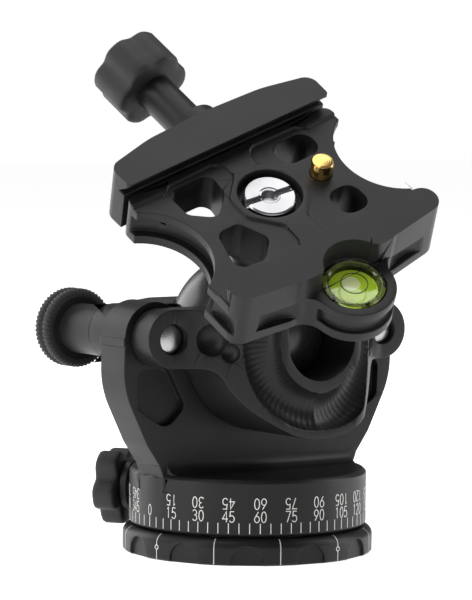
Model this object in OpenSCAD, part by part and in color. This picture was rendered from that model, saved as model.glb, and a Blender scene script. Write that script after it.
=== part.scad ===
// Open-frame ball head with a graduated panning base and a dovetail plate clamp.
// Origin: centre of the base's underside. +Z is up, +X runs from the tension side
// to the pivot side, and -Y is the front, where the stem's drop slot opens.

/* [Base] */
// Diameter of the base disc
base_d = 60; // [56:1:72]
// Height of the base disc
base_h = 6.2; // [5.4:0.1:8]
// Radius rolled over the base disc's upper edge
base_round = 2.2; // [1:0.1:2.6]
// Number of finger scoops round the base disc
scoop_count = 12; // [6:1:18]
// Depth of a finger scoop
scoop_depth = 0.9; // [0.4:0.1:1.4]
// Turn of the base disc against the dial zero, in degrees
base_turn = 9; // [0:1:29]
// Bore radius of the tripod thread
tripod_bore_r = 3.97; // [3:0.01:5]

/* [Pan body] */
// Diameter of the graduated drum
drum_d = 56.8; // [52:0.1:68]
// Height of the graduated drum
drum_h = 13.3; // [12.4:0.1:18]
// Gap between the base disc and the drum
pan_gap = 0.4; // [0.3:0.1:1]
// Diameter of the fixed pan post
post_d = 20; // [17:0.5:24]
// Running clearance, on the radius, of every turning fit
run_clear = 0.05; // [0.02:0.01:0.09]

/* [Frame] */
// Thickness of the U-shaped frame plate
frame_t = 10; // [8:0.2:13]
// Distance of each pivot from the ball's axis
pivot_x = 30.8; // [29:0.1:36]
// Radius of the frame's ears
frame_ear_r = 8.3; // [7:0.1:10]
// Height of the ball's centre above the drum
ball_rise = 32.5; // [31:0.5:42]
// Room round the ball inside the frame
frame_room = 3.2; // [2:0.1:5]
// Depth of the lightening pockets in the arms
pocket_depth = 2; // [1:0.1:2.6]

/* [Ball] */
// Diameter of the ball
ball_d = 38; // [34:0.5:40]
// Gap between the ball and each jaw's seat
seat_gap = 0.35; // [0.3:0.01:0.5]
// Radius of the stem
stem_r = 7.4; // [6.5:0.1:8]
// Height of the clamp's underside above the ball's centre
clamp_rise = 36; // [35:0.5:44]

/* [Jaws] */
// Thickness of a jaw's ear
jaw_t = 7.2; // [6:0.1:9]
// Radius of a jaw's ear
jaw_ear_r = 6.9; // [6:0.1:7.4]
// Gap between a jaw and the frame plate
jaw_gap = 0.4; // [0.3:0.1:0.8]
// Outer radius of a jaw's bowl
bowl_r = 23.4; // [22:0.1:26]
// Outer radius of the rear jaw's smaller bowl
rear_bowl_r = 15.8; // [14:0.1:19]
// How far the bowl stands in front of the ball's centre
bowl_reach = 28.8; // [27:0.1:33]
// Half width of the stem's drop slot
slot_r = 9.7; // [9:0.1:11]
// Radius of the pivot and tension bolts
bolt_r = 2.7; // [2:0.1:3]

/* [Knobs] */
// Diameter of the tension knob
tension_knob_d = 19; // [16:0.5:30]
// Width of the tension knob's grip
tension_knob_w = 5.6; // [5:0.1:9]
// Diameter of the pan lock knob
pan_knob_d = 19; // [16:0.5:22]
// Heading of the pan lock, in degrees from +X
pan_lock_heading = 124; // [110:1:150]
// Angle from the pan lock to the first retaining screw, and on to the second
retain_step = 70; // [50:1:90]
// Diameter of the clamp knob
clamp_knob_d = 19.6; // [16:0.2:26]
// Length of the clamp knob
clamp_knob_l = 11.4; // [9:0.2:16]

/* [Clamp] */
// Length of the clamp's jaws
clamp_l = 59; // [56:1:72]
// Height of the clamp, underside to jaw tops
clamp_h = 15; // [14.2:0.1:17]
// Width between the jaw lips at rest
lip_gap = 35.2; // [34:0.1:38]
// Depth of the plate channel below the jaw tops
channel_h = 4.3; // [3.8:0.1:4.8]
// Radius of the clamp's waist
waist_r = 15; // [13:0.5:17]
// Gap between the moving jaw and the clamp body at rest
jaw_open = 0.7; // [0.5:0.1:2]
// Radius of the spirit level's pocket
level_r = 7.5; // [6.5:0.1:8]
// Radius of the detent pin
detent_r = 2.6; // [2:0.1:3]
// Height that the detent pin stands proud of the bed
detent_h = 3.5; // [2.5:0.1:4]

/* [Pose] */
// Lean of the stem at rest, in degrees from upright
stem_lean = 43; // [0:1:45]
// Heading of the axis that the stem leans about, in degrees
lean_heading = -28; // [-40:1:-10]
// Turn of the clamp about the stem at rest, in degrees
clamp_heading = 4; // [-180:1:180]

/* [Hidden] */
$fn = 96;

// Small sizes that several parts share
eps = 0.01;
chamfer = 0.5;
small_chamfer = 0.3;
arc_steps = 8;
// How far a fillet's cutter bites past the two faces it blends
blend = 0.04;

// Heights up the pan stack
drum_z = base_h + pan_gap;
drum_top = drum_z + drum_h;
ball_z = drum_top + ball_rise;
ball_r = ball_d / 2;
base_r = base_d / 2;
drum_r = drum_d / 2;

// Pan post and its fittings
post_r = post_d / 2;
bush_wall = 1.5;
bush_r = post_r + bush_wall;
bore_top = drum_top - 2.4;
post_top = bore_top - 0.4;
flange_r = post_r + 7;
flange_t = 2.4;
flange_z = base_h - flange_t;
insert_r = 6;
insert_flange_r = 7.8;
insert_flange_t = 1.5;
insert_top = 11;
screw_pcd_r = post_r + 3;
screw_count = 3;
base_screw_r = 1.5;
base_screw_head_r = 2.9;
base_screw_head_h = 1.7;
// Depth of the screw heads below the disc's underside
screw_sink = 0.1;
lock_z = (drum_z + drum_top) / 2 + 0.4;
groove_half = 2.4;
groove_depth = 1.8;

// Pan lock
lock_screw_r = 3;
shoe_r = 3.6;
shoe_l = 4;
shoe_back = bush_r + 2.6;
lock_tip = shoe_back + 0.4;
lock_hub_r = 6.2;
lock_hub_l = 2.2;
lock_hub_start = drum_r + 0.4;
// The knob stands outside the base disc's rim
lock_knob_start = max(lock_hub_start + lock_hub_l, base_r + 0.8);
lock_knob_w = 6;
lock_knob_end = lock_knob_start + lock_knob_w;
lock_lobes = 5;
retain_r = 2;

// Frame
frame_half = frame_t / 2;
u_r = ball_r + frame_room;
ear_x = pivot_x + frame_ear_r;
foot_round = 3.2;

// Jaws
jaw_back = frame_half + jaw_gap;
jaw_face = jaw_back + jaw_t;
seat_r = ball_r + seat_gap;
flare = 6;
rim_w = 3;
channel_r = 4.6;
channel_path_r = slot_r + rim_w + 4.25;
channel_sink = 1.7;
channel_tilt = 11.5;
// How much shorter the rear bowl is than the front one
rear_step = 4;
// Room round the knob in the spot face milled into the rear jaw
spot_clear = 0.5;
dimple_r = 4;
dimple_tail_r = 2.4;
dimple_tail = [3.3, 2.8, 3];
dimple_x = pivot_x - 6.6;
dimple_y = -jaw_face - 5.9;
bolt_seat_r = bolt_r + 0.85;
bolt_seat_depth = 3.4;
bolt_head_sink = 1.2;
// How far the front jaw comes forward when the tension knob is loosened, and room to spare
jaw_travel = 0.7;
bolt_head_r = bolt_r + 0.7;

// Tension knob stack, from the rear jaw backwards
tension_washer_t = 1;
tension_hub_r = 6;
tension_hub_y = jaw_face + tension_washer_t + 0.1;
tension_grip_mid = tension_hub_y + 15.9;
tension_grip_y = tension_grip_mid - tension_knob_w / 2;
tension_end = tension_grip_mid + tension_knob_w / 2;
tension_core_r = tension_knob_d / 2 - 2;
grip_wall = 2;
spring_seat_r = 4.6;
spring_seat_depth = 3;

// Clamp, in its own upright frame with the ball's centre as origin
clamp_bottom = clamp_rise;
clamp_top = clamp_rise + clamp_h;
bed_z = clamp_top - channel_h;
bed_recess = 0.6;
recess_z = bed_z - bed_recess;
half_l = clamp_l / 2;
near_lip = -(lip_gap / 2 + 2);
far_lip = lip_gap / 2 - 2;
body_far = far_lip + 0.7;
jaw_inner = body_far + jaw_open;
near_outer = near_lip - 9;
near_end = near_lip - 6.9;
far_outer = far_lip + 10.8;
far_end = far_lip + 7.4;
undercut = 3.3;
lip_land = 0.7;
boss_y = near_lip - 11.7;
boss_r = level_r + 2.3;
boss_top = clamp_top - 6.3;
boss_fillet = 5;
waist_x = 21.3 + waist_r;
waist_y = -2;
wall_slot_z = clamp_bottom + 2.6;
wall_slot_h = 5;
wall_slot_r = 10;
head_recess_r = 7.6;
head_recess_z = bed_z - 3.1;
spigot_r = 6;
spigot_top = clamp_bottom + 5.2;
clamp_screw_r = 3;
clamp_head_r = 6.2;
clamp_head_h = 2.5;
stem_flange_r = 11;
stem_flange_t = 2.6;
stem_washer_t = 0.4;
stem_top = clamp_bottom - stem_washer_t;
foot_r = 8;

// Moving jaw's drive
drive_z = clamp_bottom + 6.8;
drive_r = 2.5;
drive_depth = 7;
guide_r = 1.6;
guide_x = half_l - 6.9;
guide_depth = 7.8;
guide_seat_r = 2.6;
guide_seat_depth = 3;
boss_out_r = 7;
jaw_boss_y = far_outer + 3.4;
// How far the moving jaw can still close from rest
jaw_close = min(0.4, jaw_open - 0.2);
knob_washer_t = 0.8;
shaft_r = 4.6;
knob_start = jaw_boss_y + 14.6;
knob_end = knob_start + clamp_knob_l;

// Spirit level
level_floor = boss_top - 6.2;
level_seat_t = 1;
vial_r = level_r - 0.1;
vial_z = level_floor + level_seat_t;
vial_top = boss_top + 0.2;
fluid_r = 5.7;
fluid_z = vial_z + 0.8;
fluid_h = 2.9;
bubble_r = 2.2;
ring_r = 3.2;

// Detent pin
detent_x = 14.6;
detent_y = -0.5;
detent_top = bed_z + detent_h;
detent_foot_z = bed_z - 3.6;
detent_foot_r = detent_r + 0.7;
detent_well_z = clamp_bottom + 1.6;

// ---------- Helper functions and shapes ----------

function unit(v) = v / norm(v);

// One corner of an outline, rounded to radius r
function corner(p, a, b, r) =
    let(u = unit(a - p), w = unit(b - p), half = acos(u * w) / 2)
    let(c = p + unit(u + w) * r / sin(half))
    let(d0 = p + u * r / tan(half) - c, d1 = p + w * r / tan(half) - c)
    let(a0 = atan2(d0.y, d0.x), a1 = atan2(d1.y, d1.x))
    let(turn = (a1 - a0 + 540) % 360 - 180)
    [for (i = [0 : arc_steps]) c + r * [cos(a0 + turn * i / arc_steps), sin(a0 + turn * i / arc_steps)]];

// An outline of [x, y, corner radius] points with its corners rounded
function rounded(pts) =
    let(n = len(pts))
    [for (i = [0 : n - 1])
        let(p = [pts[i].x, pts[i].y])
        let(a = [pts[(i + n - 1) % n].x, pts[(i + n - 1) % n].y])
        let(b = [pts[(i + 1) % n].x, pts[(i + 1) % n].y])
        each (pts[i].z > 0 ? corner(p, a, b, pts[i].z) : [p])];

// An outline given by its right half, with the left half mirrored
function both_sides(pts) =
    concat(pts, [for (i = [len(pts) - 1 : -1 : 0]) [-pts[i].x, pts[i].y, pts[i].z]]);

// Vertical cylinder between two heights
module post(r, z0, z1) {
    translate([0, 0, z0]) cylinder(r = r, h = z1 - z0);
}

// Cylinder along +Y between two depths
module rod_y(r, y0, y1) {
    translate([0, y0, 0]) rotate([-90, 0, 0]) cylinder(r = r, h = y1 - y0);
}

// Solid of revolution from a [radius, height] outline
module turned(pts) {
    rotate_extrude() polygon(pts);
}

// Upright plate outline in X and Z, extruded from y0 to y1
module plate_y(y0, y1) {
    translate([0, y1, 0]) rotate([90, 0, 0]) linear_extrude(height = y1 - y0) children();
}

// Lathe-turned disc between two heights with both edges chamfered
module disc(r, z0, z1, c = small_chamfer) {
    turned([[0, z0], [r - c, z0], [r, z0 + c], [r, z1 - c], [r - c, z1], [0, z1]]);
}

// Tube between two heights
module tube(r_out, r_in, z0, z1) {
    turned([[r_in, z0], [r_out, z0], [r_out, z1], [r_in, z1]]);
}

// Round wire coil along +Z, swept as one closed skin
module coil(r, wire, length, turns) {
    sides = 6;
    per_turn = 12;
    rings = turns * per_turn;
    rise = (length - 2 * wire) / rings;
    pts = [for (i = [0 : rings], j = [0 : sides - 1])
        let(a = i * 360 / per_turn, b = j * 360 / sides)
        [(r + wire * cos(b)) * cos(a), (r + wire * cos(b)) * sin(a), wire + i * rise + wire * sin(b)]];
    walls = [for (i = [0 : rings - 1], j = [0 : sides - 1])
        let(k = (j + 1) % sides)
        [i * sides + j, (i + 1) * sides + j, (i + 1) * sides + k, i * sides + k]];
    ends = [[for (j = [0 : sides - 1]) j], [for (j = [sides - 1 : -1 : 0]) rings * sides + j]];
    polyhedron(points = pts, faces = concat(ends, walls), convexity = 6);
}

// Moves a part from the clamp's upright frame to its place at rest
module on_ball() {
    translate([0, 0, ball_z])
        rotate(a = stem_lean, v = [cos(lean_heading), sin(lean_heading), 0])
            children();
}

module on_clamp() {
    on_ball() rotate([0, 0, clamp_heading]) children();
}

// Moves a part drawn along +X to the pan lock's heading and height
module on_pan_lock(heading = pan_lock_heading) {
    rotate([0, 0, heading]) translate([0, 0, lock_z]) children();
}

// ---------- Base ----------

module base_outline() {
    arc = [for (i = [0 : arc_steps])
        let(a = 90 * i / arc_steps)
        [base_r - base_round + base_round * cos(a), base_h - base_round + base_round * sin(a)]];
    polygon(concat([[0, 0], [base_r - chamfer, 0], [base_r, chamfer]], arc, [[0, base_h]]));
}

module base_disc() {
    color("#1c1c1d") rotate([0, 0, base_turn]) difference() {
        rotate_extrude() base_outline();
        for (i = [0 : scoop_count - 1])
            rotate([0, 0, (i + 0.5) * 360 / scoop_count])
                translate([base_r - scoop_depth, 0, base_h / 2 - 2.2])
                    rotate([0, 90, 0]) cylinder(r = base_h * 0.6, h = 2 * scoop_depth);
        post(flange_r + run_clear, flange_z, base_h + eps);
        post(insert_r + run_clear, -eps, base_h);
        post(insert_flange_r + run_clear, flange_z - insert_flange_t, base_h);
        for (i = [0 : screw_count - 1]) rotate([0, 0, i * 360 / screw_count + 60])
            translate([screw_pcd_r, 0, 0]) {
                post(base_screw_r + run_clear, -eps, base_h);
                post(base_screw_head_r + run_clear, -eps, screw_sink);
                translate([0, 0, screw_sink])
                    cylinder(r1 = base_screw_head_r + run_clear, r2 = base_screw_r + run_clear, h = base_screw_head_h);
            }
    }
}

module base_screws() {
    color("#3a3a3c") rotate([0, 0, base_turn])
        for (i = [0 : screw_count - 1]) rotate([0, 0, i * 360 / screw_count + 60])
            translate([screw_pcd_r, 0, 0]) difference() {
                union() {
                    translate([0, 0, screw_sink])
                        cylinder(r1 = base_screw_head_r, r2 = base_screw_r, h = base_screw_head_h);
                    post(base_screw_r, base_screw_head_h, base_h - 0.4);
                }
                translate([0, 0, -eps]) cylinder(r = 1, h = 1, $fn = 6);
            }
}

module tripod_insert() {
    color("#c9cacc") turned([[tripod_bore_r, 0.2], [insert_r, 0.2], [insert_r, flange_z - insert_flange_t],
        [insert_flange_r, flange_z - insert_flange_t], [insert_flange_r, flange_z], [insert_r, flange_z],
        [insert_r, insert_top], [tripod_bore_r, insert_top]]);
}

module pan_post() {
    color("#9a9b9e") rotate([0, 0, base_turn]) difference() {
        turned([[insert_r + run_clear, flange_z], [flange_r, flange_z], [flange_r, base_h - 0.05],
            [post_r, base_h - 0.05], [post_r, lock_z - groove_half], [post_r - groove_depth, lock_z - 0.6],
            [post_r - groove_depth, lock_z + 0.6], [post_r, lock_z + groove_half], [post_r, post_top - 0.6],
            [post_r - 0.6, post_top], [insert_r + run_clear, post_top]]);
        for (i = [0 : screw_count - 1]) rotate([0, 0, i * 360 / screw_count + 60])
            translate([screw_pcd_r, 0, 0]) post(base_screw_r + run_clear, flange_z - eps, base_h - 0.3);
    }
}

module thrust_washer() {
    color("#e8e6df") tube(drum_r - 4, flange_r - 1, base_h, base_h + pan_gap - 0.05);
}

// ---------- Pan body and frame ----------

module pan_bush() {
    color("#b08a4a") difference() {
        tube(bush_r, post_r + run_clear, drum_z + 0.1, bore_top);
        on_pan_lock() rotate([0, 90, 0]) cylinder(r = shoe_r + 0.1, h = bush_r + 1);
        for (i = [1, 2])
            on_pan_lock(pan_lock_heading - i * retain_step) rotate([0, 90, 0]) cylinder(r = retain_r + 0.1, h = bush_r + 1);
    }
}

// Frame plate's outline: arms, ears and the round opening for the ball
module frame_outline() {
    shoulder = drum_r + 0.7;
    half = [
        [0, drum_z + drum_h - 4, 0],
        [drum_r - 0.3, drum_top - 4, 0],
        [drum_r - 0.3, drum_top - 0.5, 0],
        [shoulder, drum_top + 2.2, 1.5],
        [pivot_x + 1.9, drum_top + 7.2, 12],
        [ear_x + 0.3, ball_z - 12, 20],
        [ear_x, ball_z, 0],
        [u_r, ball_z, 0]
    ];
    difference() {
        union() {
            polygon(rounded(both_sides(half)));
            for (side = [-1, 1]) translate([side * pivot_x, ball_z]) circle(r = frame_ear_r);
            for (side = [-1, 1]) translate([side * pivot_x, ball_z - 1])
                square([2 * (pivot_x - u_r), 2], center = true);
        }
        translate([0, ball_z]) circle(r = u_r);
        translate([-u_r, ball_z]) square([2 * u_r, frame_ear_r + 1]);
    }
}

// Rounded-triangle pocket in one arm
module pocket_outline() {
    polygon(rounded([
        [pivot_x + 4.6, ball_z - 7.4, 2.4], [pivot_x + 4.2, ball_z - 17, 3.2],
        [pivot_x - 3.6, ball_z - 21.8, 3.6], [pivot_x - 9, ball_z - 16.6, 2.6],
        [pivot_x - 4, ball_z - 7.4, 2.4]
    ]));
}

module drum_solid() {
    turned([[0, drum_z], [drum_r - chamfer, drum_z], [drum_r, drum_z + chamfer],
        [drum_r, drum_top - 0.8], [drum_r - 0.8, drum_top], [0, drum_top]]);
}

// Fillets where the frame plate rises from the drum
module frame_foot() {
    reach = frame_half + foot_round;
    intersection() {
        post(drum_r - 0.9, drum_top - 1, drum_top + foot_round + 1);
        difference() {
            translate([-drum_r, -reach, drum_top - 0.5]) cube([2 * drum_r, 2 * reach, foot_round + 0.5]);
            for (side = [-1, 1]) translate([-drum_r - 1, side * reach, drum_top + foot_round])
                rotate([0, 90, 0]) cylinder(r = foot_round, h = 2 * drum_r + 2);
        }
    }
}

module main_frame() {
    color("#1f1f20") difference() {
        union() {
            drum_solid();
            plate_y(-frame_half, frame_half) frame_outline();
            frame_foot();
        }
        post(bush_r + 0.02, drum_z - eps, bore_top);
        for (side = [-1, 1]) {
            translate([side * pivot_x, 0, ball_z]) rod_y(bolt_r + run_clear, -frame_half - 1, frame_half + 1);
            for (face = [-1, 1]) mirror([side < 0 ? 1 : 0, 0, 0]) mirror([0, face < 0 ? 1 : 0, 0])
                plate_y(frame_half - pocket_depth, frame_half + 1) pocket_outline();
        }
        translate([-pivot_x, 0, ball_z]) rod_y(spring_seat_r, -frame_half - 1, -frame_half + spring_seat_depth);
        on_pan_lock() rotate([0, 90, 0]) {
            cylinder(r = shoe_r + run_clear, h = shoe_back + 1.2);
            cylinder(r = lock_screw_r + run_clear, h = drum_r + 2);
        }
        for (i = [1, 2]) on_pan_lock(pan_lock_heading - i * retain_step)
            rotate([0, 90, 0]) cylinder(r = retain_r + 0.02, h = drum_r + 2);
    }
}

module retaining_screws() {
    color("#2c2c2e") for (i = [1, 2]) on_pan_lock(pan_lock_heading - i * retain_step)
        rotate([0, 90, 0]) difference() {
            union() {
                post(retain_r, post_r + 0.1, drum_r - 1.2);
                translate([0, 0, post_r - 1]) cylinder(r1 = 0.7, r2 = retain_r - 0.3, h = 1.2);
            }
            post(1, drum_r - 3, drum_r);
        }
}

// ---------- Pan lock ----------

module pan_brake_shoe() {
    color("#d9d6cb") on_pan_lock() rotate([0, 90, 0]) difference() {
        post(shoe_r, post_r + run_clear, shoe_back);
        translate([0, 0, shoe_back - 0.8]) post(1.2, 0, 1);
    }
}

module pan_lock_screw() {
    color("#8f9194") on_pan_lock() rotate([0, 90, 0])
        disc(lock_screw_r, lock_tip, lock_knob_end - 1.2);
}

module pan_lock_hub() {
    color("#1b1b1c") on_pan_lock() rotate([0, 90, 0]) difference() {
        union() {
            disc(lock_hub_r, lock_hub_start, lock_knob_start, 0.4);
            post(lock_hub_r - 1.2, lock_knob_start, lock_knob_end - 1);
        }
        post(lock_screw_r, lock_hub_start - 1, lock_knob_end - 1.2);
    }
}

// Lobed knob outline: round lobes joined by hollows
module lobed(d, lobes, lobe_r) {
    ring = d / 2 - lobe_r;
    difference() {
        union() {
            circle(r = ring + lobe_r * 0.35);
            for (i = [0 : lobes - 1]) rotate(i * 360 / lobes) translate([ring, 0]) circle(r = lobe_r);
        }
        for (i = [0 : lobes - 1]) rotate((i + 0.5) * 360 / lobes)
            translate([ring + lobe_r * 1.15, 0]) circle(r = lobe_r * 0.9);
    }
}

module pan_lock_knob() {
    color("#141414") on_pan_lock() rotate([0, 90, 0]) difference() {
        translate([0, 0, lock_knob_start]) linear_extrude(height = lock_knob_w) lobed(pan_knob_d, lock_lobes, 3.4);
        post(lock_hub_r - 1.2, lock_knob_start - 1, lock_knob_end - 1);
    }
}

// ---------- Jaws ----------

// Front view of a jaw: the bar with its ears, and the bowl below with hollow flanks
module jaw_outline(r) {
    flank = 4;
    flank_z = -jaw_ear_r - flank;
    flank_x = sqrt(pow(r + flank, 2) - pow(flank_z, 2));
    touch = [flank_x, flank_z] * r / (r + flank);
    translate([0, ball_z]) difference() {
        union() {
            for (side = [-1, 1]) translate([side * pivot_x, 0]) circle(r = jaw_ear_r);
            square([2 * pivot_x, 2 * jaw_ear_r], center = true);
            intersection() {
                circle(r = r);
                translate([-r, -r]) square([2 * r, r + jaw_ear_r]);
            }
            polygon([[flank_x, -jaw_ear_r / 2], [-flank_x, -jaw_ear_r / 2], [-flank_x, -jaw_ear_r],
                [-touch.x, touch.y], [0, -r / 2], touch, [flank_x, -jaw_ear_r]]);
        }
        for (side = [-1, 1]) translate([side * flank_x, flank_z]) circle(r = flank + blend);
    }
}

// Plan view of a jaw: flat ears and a bowl that bulges towards -Y
module jaw_plan(reach) {
    half = [
        [0, -jaw_back, 0], [ear_x, -jaw_back, 0], [ear_x, -jaw_face, 0],
        [pivot_x - 2.3, -jaw_face, flare], [slot_r + 2.8, -reach, flare], [0, -reach, 0]
    ];
    left = [for (i = [len(half) - 2 : -1 : 1]) [-half[i].x, half[i].y, half[i].z]];
    polygon(rounded(concat(half, left)));
}

module jaw_blank(reach, r) {
    intersection() {
        plate_y(-reach - 1, 0) jaw_outline(r);
        translate([0, 0, ball_z - r - 1]) linear_extrude(height = 2 * r + 2) jaw_plan(reach);
    }
}

// The hollow milled round the slot, half a ring on each side, running out to the ears
module jaw_channel() {
    for (side = [0, 1]) mirror([side, 0, 0]) translate([0, -bowl_reach - channel_sink, ball_z]) {
        rotate([0, 0, channel_tilt]) rotate([90, 0, 0]) rotate([0, 0, -90])
            rotate_extrude(angle = 100) translate([channel_path_r, 0]) circle(r = channel_r, $fn = 48);
    }
    for (side = [-1, 1]) translate([side * dimple_x, dimple_y, ball_z]) {
        sphere(r = dimple_r);
        translate([-side * dimple_tail.x, -dimple_tail.y, -dimple_tail.z]) sphere(r = dimple_tail_r);
    }
}

module slot_cut() {
    translate([0, 0, ball_z]) rod_y(slot_r, -bowl_reach - 1, 0);
    translate([-slot_r, -bowl_reach - 1, ball_z]) cube([2 * slot_r, bowl_reach + 1, bowl_r]);
}

module front_jaw() {
    color("#202021") difference() {
        jaw_blank(bowl_reach, bowl_r);
        jaw_channel();
        slot_cut();
        translate([0, 0, ball_z]) sphere(r = seat_r + 0.1);
        for (side = [-1, 1]) translate([side * pivot_x, 0, ball_z]) {
            rod_y(bolt_r + run_clear, -jaw_face - 1, 0);
            rod_y(bolt_seat_r, -jaw_face - 1, -jaw_face + bolt_seat_depth + (side > 0 ? jaw_travel : 0));
        }
        translate([-pivot_x, 0, ball_z]) rod_y(spring_seat_r, -jaw_back - 1, 0);
    }
}

module rear_jaw() {
    color("#202021") mirror([0, 1, 0]) difference() {
        jaw_blank(bowl_reach - rear_step, rear_bowl_r);
        translate([0, 0, ball_z]) sphere(r = seat_r);
        for (side = [-1, 1]) translate([side * pivot_x, 0, ball_z]) {
            rod_y(bolt_r + run_clear, -jaw_face - 1, 0);
            rod_y(tension_hub_r + spot_clear, -bowl_reach, -jaw_face);
        }
    }
}

module pivot_bolt() {
    color("#d5d6d8") translate([pivot_x, 0, ball_z]) {
        rod_y(bolt_head_r, -jaw_face + bolt_head_sink, -jaw_face + bolt_seat_depth - 0.02);
        rod_y(bolt_r, -jaw_face + bolt_seat_depth - 0.02, jaw_face + 4.4);
    }
}

module pivot_nut() {
    color("#2a2a2c") translate([pivot_x, 0, ball_z]) difference() {
        rod_y(5, jaw_face + 0.05, jaw_face + 3.8);
        rod_y(bolt_r, jaw_face - 1, jaw_face + 5);
        for (a = [0 : 60 : 300]) rotate([0, a, 0]) translate([4.3, jaw_face, -5]) cube([5, 5, 10]);
    }
}

module tension_bolt() {
    color("#d5d6d8") translate([-pivot_x, 0, ball_z]) {
        rod_y(bolt_head_r, -jaw_face + bolt_head_sink, -jaw_face + bolt_seat_depth - 0.02);
        rod_y(bolt_r, -jaw_face + bolt_seat_depth - 0.02, tension_grip_mid);
    }
}

module release_spring() {
    color("#8f9194") translate([-pivot_x, -frame_half + spring_seat_depth, ball_z]) rotate([90, 0, 0])
        coil(bolt_r + 0.95, 0.4, spring_seat_depth + jaw_gap, 3);
}

// ---------- Tension knob ----------

module tension_washer() {
    color("#d5d6d8") translate([-pivot_x, 0, ball_z]) difference() {
        rod_y(tension_hub_r, jaw_face + 0.05, jaw_face + tension_washer_t);
        rod_y(bolt_r + run_clear, jaw_face - 1, jaw_face + 3);
    }
}

module tension_hub() {
    color("#232324") translate([-pivot_x, 0, ball_z]) difference() {
        union() {
            rod_y(tension_hub_r, tension_hub_y, tension_grip_y);
            rod_y(tension_core_r, tension_grip_y, tension_end - 1.4);
        }
        rod_y(bolt_r + run_clear, tension_hub_y - 1, tension_grip_mid + 0.3);
    }
}

module tension_grip() {
    groove = 0.7;
    r = tension_knob_d / 2;
    w = tension_knob_w;
    color("#121212") translate([-pivot_x, tension_grip_y, ball_z]) rotate([-90, 0, 0])
        turned([[tension_core_r, 0], [r - 0.8, 0], [r, 0.8], [r, w * 0.36], [r - groove, w * 0.44],
            [r - groove, w * 0.56], [r, w * 0.64], [r, w - 0.8], [r - 0.8, w], [tension_core_r, w]]);
}

module tension_cap() {
    color("#161616") translate([-pivot_x, 0, ball_z])
        rod_y(tension_core_r - 0.05, tension_end - 1.4, tension_end - 0.4);
}

// ---------- Ball and stem ----------

module ball() {
    color("#2b2b2d") translate([0, 0, ball_z]) difference() {
        sphere(r = ball_r, $fn = 128);
        sphere(r = ball_r * 0.6);
    }
}

module stem() {
    color("#262627") on_ball() difference() {
        turned([[0, 12], [foot_r, 12], [foot_r, ball_r - 0.6], [stem_r, ball_r + 2.4], [stem_r, stem_top - 5.4],
            [stem_flange_r, stem_top - stem_flange_t], [stem_flange_r, stem_top - 0.3],
            [stem_flange_r - 0.3, stem_top], [spigot_r, stem_top], [spigot_r, spigot_top - 0.2], [0, spigot_top - 0.2]]);
        sphere(r = ball_r + 0.3);
        post(clamp_screw_r, ball_r + 3, spigot_top);
    }
}

module stem_washer() {
    color("#b9babd") on_ball() tube(stem_flange_r - 1, spigot_r + 0.1, stem_top + run_clear, clamp_bottom);
}

module clamp_screw() {
    head_z = head_recess_z + 0.06;
    color("#dcdddf") on_ball() difference() {
        union() {
            disc(clamp_head_r, head_z, head_z + clamp_head_h, 0.5);
            post(clamp_screw_r - 0.02, ball_r + 3.4, head_z);
        }
        rotate([0, 0, clamp_heading]) translate([-clamp_head_r - 1, -0.9, head_z + clamp_head_h - 1.1])
            cube([2 * clamp_head_r + 2, 1.8, 2]);
        post(1.9, head_z + clamp_head_h - 2, head_z + clamp_head_h + 1);
    }
}

// ---------- Clamp ----------

module clamp_outline() {
    fillet_y = near_outer - boss_fillet;
    fillet_x = sqrt(pow(boss_r + boss_fillet, 2) - pow(fillet_y - boss_y, 2));
    touch = [fillet_x, fillet_y - boss_y] * boss_r / (boss_r + boss_fillet) + [0, boss_y];
    difference() {
        union() {
            polygon(rounded(both_sides([
                [fillet_x, near_outer, 0], [half_l, near_end, 3.8], [half_l, body_far, 2.4]])));
            translate([0, boss_y]) circle(r = boss_r);
            polygon([[fillet_x, near_outer + 2], [-fillet_x, near_outer + 2], [-fillet_x, near_outer],
                [-touch.x, touch.y], [0, boss_y - 3], touch, [fillet_x, near_outer]]);
        }
        for (side = [-1, 1]) {
            translate([side * waist_x, waist_y]) circle(r = waist_r);
            translate([side * fillet_x, fillet_y]) circle(r = boss_fillet + blend);
        }
    }
}

// Lowered panels of the bed, one on each side of the centre land
module recess_outline() {
    polygon(rounded([
        [half_l + 2, 13, 0], [20.8, 12.6, 1.5], [18.4, 14.4, 1.5], [3.6, 14.7, 3.4], [3.6, 9, 2.5],
        [9.2, 3.6, 3.2], [9.2, -3.2, 3.4], [3.2, -9.8, 3], [3.4, -16, 3.2], [8.4, near_lip + 0.9, 2],
        [half_l + 2, near_lip + 0.9, 0]
    ]));
}

// The four lightening holes
module bed_holes() {
    polygon(rounded([[-19.9, 13, 2.8], [-7.6, 13, 2.6], [-8.6, 6, 2.4], [-14.4, 0.6, 2.6], [-19.9, 5, 2.4]]));
    polygon(rounded([[-17.8, -3.4, 2.4], [-11.8, -3.4, 2.2], [-8.4, -10.8, 2.4], [-13.4, -15.6, 2.4], [-20.8, -14.8, 2.6]]));
    polygon(rounded([[9.2, 12.6, 3.2], [20, 12.6, 3.2], [20, 5.4, 3.2], [9.2, 5.4, 3.2]]));
    polygon(rounded([[11, -6.6, 3], [18.6, -6.6, 3], [19, -15, 3.4], [11, -14.4, 3]]));
}

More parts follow.
